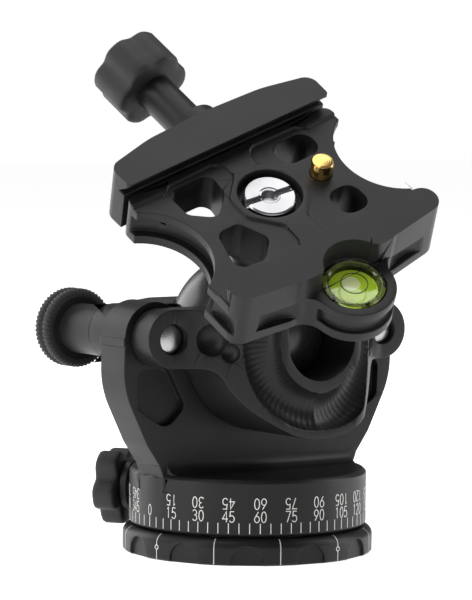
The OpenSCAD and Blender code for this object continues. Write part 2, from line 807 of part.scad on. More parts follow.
module clamp_body() {
    color("#1e1e1f") on_clamp() difference() {
        translate([0, 0, clamp_bottom]) linear_extrude(height = clamp_h) clamp_outline();
        // everything above the bed, short of the near jaw
        translate([-half_l - 1, near_lip, bed_z]) cube([clamp_l + 2, body_far - near_lip + 1, clamp_h]);
        // dovetail groove under the near lip
        translate([-half_l - 1, near_lip, 0]) rotate([90, 0, 90]) linear_extrude(height = clamp_l + 2)
            polygon([[eps, clamp_top - lip_land], [-undercut, clamp_top - lip_land - undercut], [-undercut, bed_z], [eps, bed_z]]);
        // step down to the level's boss
        translate([0, boss_y, 0]) post(level_r + 0.3, boss_top, clamp_top + 1);
        translate([-boss_r - 5, boss_y - 12, boss_top]) cube([2 * boss_r + 10, 14.2, clamp_h]);
        translate([0, boss_y, 0]) post(level_r, level_floor, clamp_top);
        // lowered bed panels and lightening holes
        for (side = [0, 1]) mirror([side, 0, 0]) translate([0, 0, recess_z]) linear_extrude(height = 2) recess_outline();
        translate([0, 0, clamp_bottom - 1]) linear_extrude(height = clamp_h) bed_holes();
        // centre screw and spigot
        post(head_recess_r, head_recess_z, clamp_top);
        post(clamp_screw_r + 0.2, clamp_bottom, clamp_top);
        post(spigot_r + run_clear, clamp_bottom - 1, spigot_top);
        // detent pin's stepped well
        translate([detent_x, detent_y, 0]) {
            post(detent_r + run_clear, clamp_bottom + 1, clamp_top);
            post(detent_foot_r + run_clear, clamp_bottom - 1, detent_foot_z + 0.9);
        }
        // drive thread and guide bores for the moving jaw
        translate([0, 0, drive_z]) rod_y(drive_r + run_clear, body_far - drive_depth, body_far + 1);
        for (side = [-1, 1]) translate([side * guide_x, 0, drive_z])
            rod_y(guide_r + run_clear, body_far - guide_depth, body_far + 1);
        clamp_wall_slots();
    }
}

// Cutter marks let into the clamp body's outer walls
module clamp_wall_slots() {
    for (side = [-1, 1]) {
        translate([side * 19.8, near_outer - wall_slot_r + 2.4, wall_slot_z]) post(wall_slot_r, 0, wall_slot_h);
        translate([side * (half_l + wall_slot_r - 1.7), near_lip - 1.4, wall_slot_z]) post(wall_slot_r, 0, wall_slot_h);
        translate([side * waist_x, waist_y, wall_slot_z]) tube(waist_r + 1.8, waist_r - 3, 0, wall_slot_h);
    }
    difference() {
        translate([0, boss_y - 0.01, wall_slot_z]) tube(boss_r + 2, boss_r - 1.1, 0, wall_slot_h - 1.4);
        translate([-20, boss_y, 0]) cube([40, 30, 60]);
    }
}

module moving_jaw_outline() {
    polygon(rounded(both_sides([
        [0, far_outer, 0], [half_l * 0.55, far_outer - 0.7, 30], [half_l - 0.2, far_end, 3.2], [half_l - 0.4, far_lip, 1.2]])));
}

module moving_jaw() {
    color("#1e1e1f") on_clamp() difference() {
        union() {
            translate([0, 0, clamp_bottom + 0.2]) linear_extrude(height = clamp_h - 0.2) moving_jaw_outline();
            translate([0, 0, drive_z]) rod_y(boss_out_r, jaw_inner + 2, jaw_boss_y);
        }
        // face below the bed
        translate([-half_l - 1, far_lip - 5, clamp_bottom - 1]) cube([clamp_l + 2, jaw_inner - far_lip + 5, bed_z - clamp_bottom + 1.2]);
        // dovetail groove
        translate([-half_l - 1, far_lip, 0]) rotate([90, 0, 90]) linear_extrude(height = clamp_l + 2)
            polygon([[-2, clamp_top - lip_land], [0, clamp_top - lip_land], [undercut, clamp_top - lip_land - undercut],
                [undercut, bed_z + 0.1], [-2, bed_z + 0.1]]);
        translate([0, 0, drive_z]) rod_y(drive_r + run_clear, far_lip, jaw_boss_y + 1);
        for (side = [-1, 1]) translate([side * guide_x, 0, drive_z]) {
            rod_y(guide_r, far_lip, jaw_inner + 6);
            rod_y(guide_seat_r, far_lip, jaw_inner + guide_seat_depth);
        }
    }
}

module guide_pins() {
    color("#c9cacc") on_clamp() for (side = [-1, 1]) translate([side * guide_x, 0, drive_z])
        rod_y(guide_r, body_far - guide_depth + 1.2, jaw_inner + 5.9);
}

module jaw_springs() {
    color("#8f9194") on_clamp() for (side = [-1, 1]) translate([side * guide_x, body_far, drive_z])
        rotate([-90, 0, 0]) coil(guide_r + 0.5, 0.3, guide_seat_depth + jaw_open - jaw_close - 0.1, 4);
}

module clamp_knob_washer() {
    color("#c9cacc") on_clamp() translate([0, 0, drive_z]) difference() {
        rod_y(shaft_r + 0.8, jaw_boss_y + 0.06, jaw_boss_y + knob_washer_t);
        rod_y(drive_r + run_clear, jaw_boss_y - 1, jaw_boss_y + 2);
    }
}

module clamp_knob_screw() {
    color("#2a2a2b") on_clamp() translate([0, 0, drive_z]) {
        rod_y(drive_r, body_far - drive_depth + 0.8, jaw_boss_y + knob_washer_t + 0.1);
        rod_y(shaft_r, jaw_boss_y + knob_washer_t + 0.1, knob_start);
        rod_y(shaft_r - 1, knob_start, knob_end - 2);
    }
}

module clamp_knob_grip() {
    color("#121212") on_clamp() translate([0, 0, drive_z]) difference() {
        translate([0, knob_end, 0]) rotate([90, 0, 0]) linear_extrude(height = clamp_knob_l) lobed(clamp_knob_d, 6, 4.4);
        rod_y(shaft_r - 1, knob_start - 1, knob_end - 2);
    }
}

// ---------- Spirit level ----------

module on_level() {
    on_clamp() translate([0, boss_y, 0]) children();
}

module level_seat() {
    color("#e9f0d8") on_level() disc(level_r - 0.1, level_floor, vial_z, 0.2);
}

module level_vial() {
    color("#dfe8d0") on_level() difference() {
        disc(vial_r, vial_z, vial_top, 0.3);
        post(fluid_r, fluid_z, fluid_z + fluid_h);
    }
}

module level_fluid() {
    color("#b6e020") on_level() difference() {
        post(fluid_r, fluid_z, fluid_z + fluid_h);
        translate([0.5, 1.4, 0]) post(bubble_r, fluid_z + fluid_h - 0.7, fluid_z + fluid_h + 1);
    }
}

module level_bubble() {
    color("#f2fadd") on_level() translate([0.5, 1.4, 0])
        post(bubble_r, fluid_z + fluid_h - 0.7, fluid_z + fluid_h);
}

module level_ring() {
    color("#101010") on_level() tube(ring_r, ring_r - 0.35, vial_top, vial_top + 0.06);
}

// ---------- Detent pin ----------

module detent_pin() {
    color("#c99a3f") on_clamp() translate([detent_x, detent_y, 0]) {
        disc(detent_r, detent_foot_z, detent_top, 0.3);
        post(detent_foot_r, detent_foot_z - 1, detent_foot_z + 0.1);
    }
}

module detent_spring() {
    color("#8f9194") on_clamp() translate([detent_x, detent_y, detent_well_z])
        coil(detent_r - 0.5, 0.35, detent_foot_z - 1 - detent_well_z, 4);
}

module detent_plug() {
    color("#2c2c2e") on_clamp() translate([detent_x, detent_y, 0]) difference() {
        post(detent_foot_r, clamp_bottom + 0.1, detent_well_z);
        translate([-detent_r, -0.4, clamp_bottom]) cube([2 * detent_r, 0.8, 0.7]);
    }
}

base_disc();
base_screws();
tripod_insert();
pan_post();
thrust_washer();
pan_bush();
main_frame();
retaining_screws();
pan_brake_shoe();
pan_lock_screw();
pan_lock_hub();
pan_lock_knob();
front_jaw();
rear_jaw();
pivot_bolt();
pivot_nut();
tension_bolt();
release_spring();
tension_washer();
tension_hub();
tension_grip();
tension_cap();
ball();
stem();
clamp_screw();
stem_washer();
clamp_body();
moving_jaw();
guide_pins();
jaw_springs();
clamp_knob_washer();
clamp_knob_screw();
clamp_knob_grip();
level_seat();
level_vial();
level_fluid();
level_bubble();
level_ring();
detent_pin();
detent_spring();
detent_plug();
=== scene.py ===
"""Looks for an open-frame ball head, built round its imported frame.

Sizes in the classes are millimetres in the CAD's axes; meshes are scaled to metres as they are made.
"""

import logging
import math
from dataclasses import dataclass, field
from enum import Enum
from typing import Callable, Iterable, Optional, Sequence

import bmesh
import bpy
from mathutils import Matrix, Vector


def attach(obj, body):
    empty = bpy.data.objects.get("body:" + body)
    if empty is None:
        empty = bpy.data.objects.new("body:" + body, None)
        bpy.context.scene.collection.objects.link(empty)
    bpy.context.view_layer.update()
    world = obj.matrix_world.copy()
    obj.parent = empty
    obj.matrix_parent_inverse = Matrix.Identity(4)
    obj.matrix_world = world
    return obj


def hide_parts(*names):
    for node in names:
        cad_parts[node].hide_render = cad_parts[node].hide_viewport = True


LOG = logging.getLogger("ball_head")
MM = 0.001
BALL_CENTRE = Vector((0.0, 0.0, 52.4))
LEAN_DEG = 43.0
LEAN_HEADING_DEG = -28.0
CLAMP_TURN_DEG = 4.0
PAN_LOCK_HEADING_DEG = 124.0
PAN_LOCK_Z = 13.65
PAN_LOCK_REACH = 31.0
PIVOT_X = 30.8
CLAMP_KNOB_AT = (0, 44.4, 42.8)
DETENT_AT = (14.6, -0.5)
LEVEL_Y = -31.3
TONE_BAND = (0.32, 0.68)
ROUGH_BAND = (0.3, 0.7)
LEAST_ROUGHNESS = 0.02
TINY = 1e-6
WELD = 2e-6
BEVEL_OVER_DEG = 38
SMOOTH_BELOW_DEG = 32.0

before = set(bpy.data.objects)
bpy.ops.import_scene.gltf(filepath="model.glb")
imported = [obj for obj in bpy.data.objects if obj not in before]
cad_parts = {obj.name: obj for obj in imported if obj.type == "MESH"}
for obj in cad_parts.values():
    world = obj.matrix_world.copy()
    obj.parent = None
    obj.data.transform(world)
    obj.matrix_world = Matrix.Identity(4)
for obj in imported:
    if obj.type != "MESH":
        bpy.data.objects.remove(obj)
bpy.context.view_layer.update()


class Body(str, Enum):
    """The rigid bodies that pieces ride on."""

    BASE = "base"
    HEAD = "head"
    YOKE = "front_yoke"
    TENSION = "tension_knob"
    PAN_LOCK = "pan_lock"
    BALL = "ball"
    STEM = "stem"
    CLAMP = "clamp"
    JAW = "sliding_jaw"
    CLAMP_KNOB = "clamp_knob"
    DETENT = "detent"


class Slot(str, Enum):
    """The record's material slots named for new pieces."""

    ANODISED = "anodised"
    BALL = "ball_black"
    RUBBER = "grip_rubber"
    STEEL = "steel"
    BRASS = "brass_pin"
    CLEAR = "level_clear"
    GREEN = "level_green"
    AIR = "level_air"
    PRINT = "level_print"
    PALE = "level_base"


def on_ball() -> Matrix:
    """Place of the stem's upright frame at rest, in millimetres."""
    heading = math.radians(LEAN_HEADING_DEG)
    axis = Vector((math.cos(heading), math.sin(heading), 0.0))
    return Matrix.Translation(BALL_CENTRE) @ Matrix.Rotation(math.radians(LEAN_DEG), 4, axis)


def on_clamp() -> Matrix:
    """Place of the clamp's upright frame at rest, in millimetres."""
    return on_ball() @ Matrix.Rotation(math.radians(CLAMP_TURN_DEG), 4, "Z")


def along_y(x: float, y: float, z: float) -> Matrix:
    """Frame whose +Z points along +Y, with its origin at a point."""
    return Matrix.Translation((x, y, z)) @ Matrix.Rotation(-math.pi / 2, 4, "X")


def on_pan_lock() -> Matrix:
    """Frame whose +Z points outward along the pan lock, from the pan axis."""
    turn = Matrix.Rotation(math.radians(PAN_LOCK_HEADING_DEG), 4, "Z")
    return turn @ Matrix.Translation((0, 0, PAN_LOCK_Z)) @ Matrix.Rotation(math.pi / 2, 4, "Y")


# ---------- Node groups ----------


def new_group(name: str, inputs: Sequence[tuple], outputs: Sequence[tuple]) -> tuple:
    """Makes an empty shader node group with its sockets.

    Args:
        name: The group's name.
        inputs: (name, socket type, default) rows.
        outputs: (name, socket type) rows.

    Returns:
        The group, its input node and its output node.
    """
    group = bpy.data.node_groups.new(name, "ShaderNodeTree")
    for label, kind, value in inputs:
        socket = group.interface.new_socket(label, in_out="INPUT", socket_type=kind)
        socket.default_value = value
    for label, kind in outputs:
        group.interface.new_socket(label, in_out="OUTPUT", socket_type=kind)
    return group, group.nodes.new("NodeGroupInput"), group.nodes.new("NodeGroupOutput")


def grain_group() -> bpy.types.ShaderNodeTree:
    """Fine blasted grain: a height and a slow tone mask, by object coordinates.

    Returns:
        The node group.
    """
    group, inp, out = new_group(
        "blasted_grain",
        [("Scale", "NodeSocketFloat", 4000.0), ("Tone Scale", "NodeSocketFloat", 60.0)],
        [("Height", "NodeSocketFloat"), ("Tone", "NodeSocketFloat")],
    )
    n, link = group.nodes, group.links
    place = n.new("ShaderNodeTexCoord")
    fine = n.new("ShaderNodeTexNoise")
    fine.inputs["Detail"].default_value = 3.0
    slow = n.new("ShaderNodeTexNoise")
    slow.inputs["Detail"].default_value = 4.0
    link.new(place.outputs["Object"], fine.inputs["Vector"])
    link.new(place.outputs["Object"], slow.inputs["Vector"])
    link.new(inp.outputs["Scale"], fine.inputs["Scale"])
    link.new(inp.outputs["Tone Scale"], slow.inputs["Scale"])
    link.new(fine.outputs["Fac"], out.inputs["Height"])
    link.new(slow.outputs["Fac"], out.inputs["Tone"])
    return group


def turned_group() -> bpy.types.ShaderNodeTree:
    """Lathe rings round a centre line: a height from the distance to the axis.

    Returns:
        The node group.
    """
    group, inp, out = new_group(
        "lathe_rings",
        [
            ("Centre", "NodeSocketVector", (0, 0, 0)),
            ("Axis", "NodeSocketVector", (0, 0, 1)),
            ("Pitch", "NodeSocketFloat", 3000.0),
        ],
        [("Height", "NodeSocketFloat")],
    )
    n, link = group.nodes, group.links
    place = n.new("ShaderNodeTexCoord")
    away = n.new("ShaderNodeVectorMath")
    away.operation = "SUBTRACT"
    cross = n.new("ShaderNodeVectorMath")
    cross.operation = "CROSS_PRODUCT"
    size = n.new("ShaderNodeVectorMath")
    size.operation = "LENGTH"
    scaled = n.new("ShaderNodeMath")
    scaled.operation = "MULTIPLY"
    wave = n.new("ShaderNodeMath")
    wave.operation = "SINE"
    link.new(place.outputs["Object"], away.inputs[0])
    link.new(inp.outputs["Centre"], away.inputs[1])
    link.new(away.outputs["Vector"], cross.inputs[0])
    link.new(inp.outputs["Axis"], cross.inputs[1])
    link.new(cross.outputs["Vector"], size.inputs[0])
    link.new(size.outputs["Value"], scaled.inputs[0])
    link.new(inp.outputs["Pitch"], scaled.inputs[1])
    link.new(scaled.outputs["Value"], wave.inputs[0])
    link.new(wave.outputs["Value"], out.inputs["Height"])
    return group


GRAIN = grain_group()
RINGS = turned_group()


@dataclass(frozen=True)
class Finish:
    """One surface finish and how to make its material."""

    name: str
    dark: tuple
    light: tuple
    roughness: float
    rough_spread: float = 0.06
    metallic: float = 0.0
    grain: float = 4000.0
    tone: float = 70.0
    bump: float = 0.02
    specular: float = 0.5
    rings: Optional[tuple] = None
    coat: float = 0.0
    transmission: float = 0.0
    ior: float = 1.5

    def make(self) -> bpy.types.Material:
        """Builds the material, with tone, roughness and bump from the grain.

        Returns:
            The material, made once for each finish.
        """
        found = bpy.data.materials.get(self.name)
        if found:
            return found
        mat = bpy.data.materials.new(self.name)
        mat.use_nodes = True
        n, link = mat.node_tree.nodes, mat.node_tree.links
        shader = n["Principled BSDF"]
        shader.inputs["Metallic"].default_value = self.metallic
        shader.inputs["Specular IOR Level"].default_value = self.specular
        shader.inputs["Coat Weight"].default_value = self.coat
        shader.inputs["Transmission Weight"].default_value = self.transmission
        shader.inputs["IOR"].default_value = self.ior
        grain = n.new("ShaderNodeGroup")
        grain.node_tree = GRAIN
        grain.inputs["Scale"].default_value = self.grain
        grain.inputs["Tone Scale"].default_value = self.tone
        ramp = n.new("ShaderNodeValToRGB")
        ramp.color_ramp.elements[0].position = TONE_BAND[0]
        ramp.color_ramp.elements[1].position = TONE_BAND[1]
        ramp.color_ramp.elements[0].color = (*self.dark, 1.0)
        ramp.color_ramp.elements[1].color = (*self.light, 1.0)
        link.new(grain.outputs["Tone"], ramp.inputs["Fac"])
        link.new(ramp.outputs["Color"], shader.inputs["Base Color"])
        rough = n.new("ShaderNodeMapRange")
        rough.inputs["From Min"].default_value = ROUGH_BAND[0]
        rough.inputs["From Max"].default_value = ROUGH_BAND[1]
        rough.inputs["To Min"].default_value = max(LEAST_ROUGHNESS, self.roughness - self.rough_spread)
        rough.inputs["To Max"].default_value = self.roughness + self.rough_spread
        link.new(grain.outputs["Tone"], rough.inputs["Value"])
        link.new(rough.outputs["Result"], shader.inputs["Roughness"])
        bump = n.new("ShaderNodeBump")
        bump.inputs["Strength"].default_value = 1.0
        bump.inputs["Distance"].default_value = self.bump * MM
        link.new(grain.outputs["Height"], bump.inputs["Height"])
        link.new(bump.outputs["Normal"], shader.inputs["Normal"])
        if self.rings:
            self.add_rings(mat, bump)
        return mat

    def add_rings(self, mat: bpy.types.Material, bump: bpy.types.Node) -> None:
        """Adds lathe rings under the grain.

        Args:
            mat: The material being made.
            bump: Its grain bump node.
        """
        centre, axis, pitch, depth = self.rings
        n, link = mat.node_tree.nodes, mat.node_tree.links
        rings = n.new("ShaderNodeGroup")
        rings.node_tree = RINGS
        rings.inputs["Centre"].default_value = Vector(centre) * MM
        rings.inputs["Axis"].default_value = axis
        rings.inputs["Pitch"].default_value = pitch
        under = n.new("ShaderNodeBump")
        under.inputs["Strength"].default_value = 1.0
        under.inputs["Distance"].default_value = depth * MM
        link.new(rings.outputs["Height"], under.inputs["Height"])
        link.new(under.outputs["Normal"], bump.inputs["Normal"])


CLAMP_AXIS = tuple((on_clamp().to_3x3() @ Vector((0, 0, 1))))
SCREW_CENTRE = tuple(on_clamp() @ Vector((0, 0, 44)))
PIN_CENTRE = tuple(on_clamp() @ Vector((*DETENT_AT, 50)))

ANODISED = Finish("satin_anodised", (0.0085, 0.0085, 0.0088), (0.013, 0.013, 0.0134), 0.40, specular=0.24)
# The chamfer finish is lighter and glossier than the anodising: partly edge wear, partly a painted highlight
# where the rounded edges catch the light.
EDGE_WEAR_AND_HIGHLIGHT = Finish("chamfer_wear_and_highlight", (0.045, 0.045, 0.045), (0.075, 0.075, 0.075), 0.30, metallic=0.3)
MILLED = Finish("ball_milled", (0.010, 0.010, 0.0103), (0.016, 0.016, 0.0164), 0.33, specular=0.34)
DRUM = Finish(
    "turned_drum", (0.009, 0.009, 0.0093), (0.014, 0.014, 0.0144), 0.36, specular=0.26,
    rings=((0, 0, 0), (0, 0, 1), 9000.0, 0.002),
)
BALL_COAT = Finish("ball_coat", (0.012, 0.012, 0.0124), (0.018, 0.018, 0.0185), 0.24, bump=0.004)
RUBBER = Finish(
    "moulded_rubber", (0.007, 0.007, 0.0073), (0.012, 0.012, 0.0123), 0.62, bump=0.035, grain=2600.0,
)
STEEL = Finish("turned_steel", (0.62, 0.63, 0.65), (0.76, 0.77, 0.79), 0.22, metallic=1.0, bump=0.004)
SCREW = Finish(
    "screw_face", (0.34, 0.34, 0.35), (0.46, 0.46, 0.47), 0.24, metallic=1.0, bump=0.003,
    rings=(SCREW_CENTRE, CLAMP_AXIS, 16000.0, 0.006),
)
PIN_FACE = Finish("pin_face", (0.34, 0.34, 0.34), (0.46, 0.46, 0.46), 0.28, metallic=1.0, bump=0.004)
BRASS = Finish(
    "bright_brass", (0.66, 0.42, 0.12), (0.80, 0.55, 0.20), 0.20, metallic=1.0, bump=0.004,
    rings=(PIN_CENTRE, CLAMP_AXIS, 14000.0, 0.006),
)
BLACK_STEEL = Finish("black_steel", (0.03, 0.03, 0.031), (0.05, 0.05, 0.052), 0.34, metallic=0.7)
BRONZE = Finish("bronze", (0.42, 0.26, 0.11), (0.52, 0.34, 0.16), 0.34, metallic=1.0)
POLYMER = Finish("polymer", (0.74, 0.73, 0.68), (0.82, 0.81, 0.77), 0.5)
PAINT = Finish("dial_paint", (0.62, 0.62, 0.60), (0.78, 0.78, 0.75), 0.55, bump=0.004)
INK = Finish("ring_ink", (0.006, 0.008, 0.004), (0.012, 0.014, 0.008), 0.4, bump=0.002)
PALE = Finish("level_floor", (0.62, 0.80, 0.08), (0.74, 0.92, 0.16), 0.45, bump=0.004)
CLEAR = Finish(
    "clear_acrylic", (0.97, 1.0, 0.93), (0.99, 1.0, 0.96), 0.03, rough_spread=0.01, bump=0.0005,
    transmission=1.0, ior=1.45,
)
SPIRIT = Finish(
    "green_spirit", (0.52, 0.80, 0.02), (0.62, 0.88, 0.05), 0.10, rough_spread=0.02, bump=0.0005, coat=1.0,
)
AIR = Finish(
    "air_bubble", (0.86, 0.97, 0.42), (0.92, 1.0, 0.52), 0.10, rough_spread=0.02, bump=0.0005, coat=1.0,
)


# ---------- Mesh tools ----------


class Shape:
    """Collects vertices and faces in millimetres and turns them into a piece."""

    def __init__(self) -> None:
        """Starts empty."""
        self.verts: list = []
        self.faces: list = []
        self.tags: list = []

    def add(self, points: Iterable, faces: Iterable, place: Matrix = Matrix(), tag: int = 0) -> None:
        """Adds a closed skin.

        Args:
            points: Its corners.
            faces: Corner numbers of each face.
            place: Where the skin goes.
            tag: Material slot of its faces.
        """
        start = len(self.verts)
        self.verts += [place @ Vector(p) for p in points]
        for face in faces:
            self.faces.append([start + i for i in face])
            self.tags.append(tag)

    def lathe(
        self,
        profile: Sequence[tuple],
        place: Matrix = Matrix(),
        steps: int = 128,
        shape: Optional[Callable[[float, int], float]] = None,
        tag: int = 0,
    ) -> None:
        """Adds a turned solid, whose radius may vary with the angle.

        Args:
            profile: (radius, height) rows from the bottom centre to the top centre.
            place: Where the solid goes.
            steps: Sides round the axis.
            shape: Change of radius at (angle, row).
            tag: Material slot of its faces.
        """
        points, faces, rings = [], [], []
        for row, (r, z) in enumerate(profile):
            if r <= TINY:
                rings.append([len(points)])
                points.append((0, 0, z))
                continue
            rings.append(list(range(len(points), len(points) + steps)))
            for i in range(steps):
                a = 2 * math.pi * i / steps
                radius = r + (shape(a, row) if shape else 0.0)
                points.append((radius * math.cos(a), radius * math.sin(a), z))
        pairs = list(zip(rings, rings[1:]))
        if len(rings[0]) > 1:
            pairs.append((rings[-1], rings[0]))
        for low, high in pairs:
            if len(low) == len(high) == 1:
                continue
            for i in range(steps):
                j = (i + 1) % steps
                if len(low) == 1:
                    faces.append((low[0], high[j], high[i]))
                elif len(high) == 1:
                    faces.append((low[i], low[j], high[0]))
                else:
                    faces.append((low[i], low[j], high[j], high[i]))
        self.add(points, faces, place, tag)

    def piece(self, name: str, finish: "Finish | Sequence[Finish]", smooth: float = 35.0) -> bpy.types.Object:
        """Makes the object, with outward faces and smooth shading below an angle.

        Args:
            name: The piece's name.
            finish: One finish, or one for each tag.
            smooth: Angle in degrees above which an edge stays sharp.

        Returns:
            The new object.
        """
        mesh = bpy.data.meshes.new(name)
        mesh.from_pydata([p * MM for p in self.verts], [], self.faces)
        mesh.polygons.foreach_set("material_index", self.tags)
        bm = bmesh.new()
        bm.from_mesh(mesh)
        bmesh.ops.remove_doubles(bm, verts=bm.verts, dist=1e-7)
        bmesh.ops.recalc_face_normals(bm, faces=bm.faces)
        bm.to_mesh(mesh)
        bm.free()
        return finished(name, mesh, finish, smooth)


def finished(
    name: str, mesh: bpy.types.Mesh, finish: "Finish | Sequence[Finish]", smooth: float
) -> bpy.types.Object:
    """Dresses a mesh and links it as an object.

    Args:
        name: The piece's name.
        mesh: Its mesh, in metres.
        finish: One finish, or one for each material slot.
        smooth: Angle in degrees above which an edge stays sharp.

    Returns:
        The new object.
    """
    mesh.materials.clear()
    for one in finish if isinstance(finish, (list, tuple)) else [finish]:
        mesh.materials.append(one.make())
    mesh.shade_smooth()
    mesh.set_sharp_from_angle(angle=math.radians(smooth))
    obj = bpy.data.objects.new(name, mesh)
    bpy.context.scene.collection.objects.link(obj)
    return obj


def settle(obj: bpy.types.Object, body: Body, slot: Slot, *nodes: str) -> bpy.types.Object:
    """Rides a piece on its body and hides the CAD nodes it stands for.

    Args:
        obj: The piece.
        body: The body it rides on.
        slot: The record's slot meant for its finish; not used.
        *nodes: CAD nodes it replaces.

    Returns:
        The same piece.
    """
    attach(obj, body.value)
    if nodes:
        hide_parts(*nodes)
    LOG.info("%s rides on %s, %d faces", obj.name, body.value, len(obj.data.polygons))
    return obj


def baked_mesh(obj: bpy.types.Object) -> bpy.types.Mesh:
    """Applies an object's modifiers.

    Args:
        obj: The object.

    Returns:
        A new mesh with its modifiers applied.
    """
    bpy.context.view_layer.update()
    graph = bpy.context.evaluated_depsgraph_get()
    return bpy.data.meshes.new_from_object(obj.evaluated_get(graph))


def machined(
    node: str,
    name: str,
    finish: "Finish | Sequence[Finish]",
    edge: float = 0.22,
    cutters: Sequence[bpy.types.Object] = (),
    tag: Optional[Callable[[Vector, Vector], int]] = None,
    reshape: Optional[Callable[[bmesh.types.BMesh], None]] = None,
) -> bpy.types.Object:
    """Copies a CAD node as a piece with its edges broken.

    Args:
        node: The CAD node.
        name: The new piece's name.
        finish: Finishes for slot 0, the chamfers in slot 1, and any further slots; slot 1 is a lighter
            finish, partly edge wear and partly a painted highlight on the chamfers.
        edge: Width of the broken edges, in millimetres.
        cutters: Closed objects cut out of it first.
        tag: Gives a face's material slot from its centre and normal.
        reshape: Edits the mesh after it is cut.

    Returns:
        The new object.
    """
    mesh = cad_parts[node].data.copy()
    mesh.materials.clear()
    for _ in range(3):
        mesh.materials.append(None)
    for poly in mesh.polygons:
        poly.material_index = 0
    obj = bpy.data.objects.new(name + "_blank", mesh)
    bpy.context.scene.collection.objects.link(obj)
    for cutter in cutters:
        cut = obj.modifiers.new("cut", "BOOLEAN")
        cut.operation = "DIFFERENCE"
        cut.solver = "EXACT"
        cut.object = cutter
    mesh = baked_mesh(obj)
    bm = bmesh.new()
    bm.from_mesh(mesh)
    bmesh.ops.remove_doubles(bm, verts=bm.verts, dist=WELD)
    if reshape:
        reshape(bm)
    bm.to_mesh(mesh)
    bm.free()
    obj.modifiers.clear()
    obj.data = mesh
    if edge > 0:
        bevel = obj.modifiers.new("edge", "BEVEL")
        bevel.width = edge * MM
        bevel.segments = 2
        bevel.limit_method = "ANGLE"
        bevel.angle_limit = math.radians(BEVEL_OVER_DEG)
        bevel.use_clamp_overlap = False
        # The bevel faces take slot 1, the lighter chamfer finish with its painted highlight.
        bevel.material = 1
    mesh = baked_mesh(obj)
    bpy.data.objects.remove(obj)
    for cutter in cutters:
        bpy.data.objects.remove(cutter)
    if tag:
        for poly in mesh.polygons:
            if poly.material_index == 0:
                poly.material_index = tag(poly.center / MM, poly.normal)
    piece = finished(name, mesh, finish, SMOOTH_BELOW_DEG)
    piece.modifiers.new("normals", "WEIGHTED_NORMAL").keep_sharp = True
    return piece


def carved(obj: bpy.types.Object, tool: bpy.types.Object) -> bpy.types.Object:
    """Cuts one closed object out of another.

    Args:
        obj: The object that is cut, which is used up.
        tool: The closed cutter, which is used up.

    Returns:
        A new object with the cut mesh.
    """
    cut = obj.modifiers.new("cut", "BOOLEAN")
    cut.solver = "EXACT"
    cut.object = tool
    result = bpy.data.objects.new("carved", baked_mesh(obj))
    bpy.context.scene.collection.objects.link(result)
    bpy.data.objects.remove(tool)
    bpy.data.objects.remove(obj)
    return result


def paint_node(node: str, finish: Finish) -> None:
    """Gives a CAD node that keeps showing a finish of its own.

    Args:
        node: The CAD node.
        finish: Its finish.
    """
    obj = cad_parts[node]
    obj.data.materials.clear()
    obj.data.materials.append(finish.make())
    LOG.info("%s keeps its mesh, finish %s", node, finish.name)


# ---------- Engraved marks ----------


def arc(cx: float, cy: float, rx: float, ry: float, a0: float, a1: float, n: int = 9) -> list:
    """Points on an ellipse from one angle to another, in degrees."""
    steps = [math.radians(a0 + (a1 - a0) * i / n) for i in range(n + 1)]
    return [(cx + rx * math.cos(a), cy + ry * math.sin(a)) for a in steps]


DIGITS = {
    "0": [arc(0.3, 0.5, 0.27, 0.5, 90, 450, 20)],
    "1": [[(0.14, 0.82), (0.3, 1.0), (0.3, 0.0)]],
    "2": [arc(0.3, 0.73, 0.26, 0.27, 165, -35, 9) + [(0.03, 0.0), (0.58, 0.0)]],
    "3": [arc(0.28, 0.76, 0.25, 0.24, 150, -85, 9) + arc(0.28, 0.27, 0.28, 0.27, 85, -150, 10)],
    "4": [[(0.46, 0.0), (0.46, 1.0), (0.02, 0.3), (0.62, 0.3)]],
    "5": [[(0.54, 1.0), (0.12, 1.0), (0.08, 0.55)] + arc(0.28, 0.31, 0.28, 0.31, 125, -150, 12)],
    "6": [[(0.46, 1.0), (0.1, 0.48)] + arc(0.3, 0.3, 0.27, 0.3, 150, -210, 16)],
    "7": [[(0.02, 1.0), (0.58, 1.0), (0.2, 0.0)]],
    "8": [arc(0.3, 0.76, 0.23, 0.24, -90, 270, 16), arc(0.3, 0.27, 0.27, 0.27, 90, 450, 16)],
    "9": [[(0.14, 0.0), (0.5, 0.52)] + arc(0.3, 0.7, 0.27, 0.3, -30, 330, 16)],
}


def ribbon(
    shape: Shape, path: Sequence[tuple], width: float, lift: Callable[[float, float, float], Vector]
) -> None:
    """Adds a painted stroke as a closed flat bar that follows a surface.

    Args:
        shape: The shape it joins.
        path: (s, t) points on the surface.
        width: The stroke's width.
        lift: Gives the point at (s, t, depth), with depth 0 or 1.
    """
    closed = math.dist(path[0], path[-1]) < TINY
    pts = list(path[:-1]) if closed else list(path)
    count = len(pts)
    points = []
    for i, (s, t) in enumerate(pts):
        before = pts[i - 1] if closed or i > 0 else pts[i]
        after = pts[(i + 1) % count] if closed or i < count - 1 else pts[i]
        d1 = Vector((s - before[0], t - before[1]))
        d2 = Vector((after[0] - s, after[1] - t))
        d1 = d1.normalized() if d1.length else d2.normalized()
        d2 = d2.normalized() if d2.length else d1
        mid = d1 + d2
        mid = mid.normalized() if mid.length > TINY else d1
        side = Vector((-mid.y, mid.x)) * width / 2 / max(0.5, mid.dot(d1))
        for depth in (0.0, 1.0):
            points.append(lift(s + side.x, t + side.y, depth))
            points.append(lift(s - side.x, t - side.y, depth))
    faces = []
    for i in range(count if closed else count - 1):
        a, b = 4 * i, 4 * ((i + 1) % count)
        faces += [(a, a + 1, b + 1, b), (a + 2, b + 2, b + 3, a + 3)]
        faces += [(a, b, b + 2, a + 2), (a + 1, a + 3, b + 3, b + 1)]
    if not closed:
        last = 4 * (count - 1)
        faces += [(0, 2, 3, 1), (last, last + 1, last + 3, last + 2)]
    shape.add(points, faces)


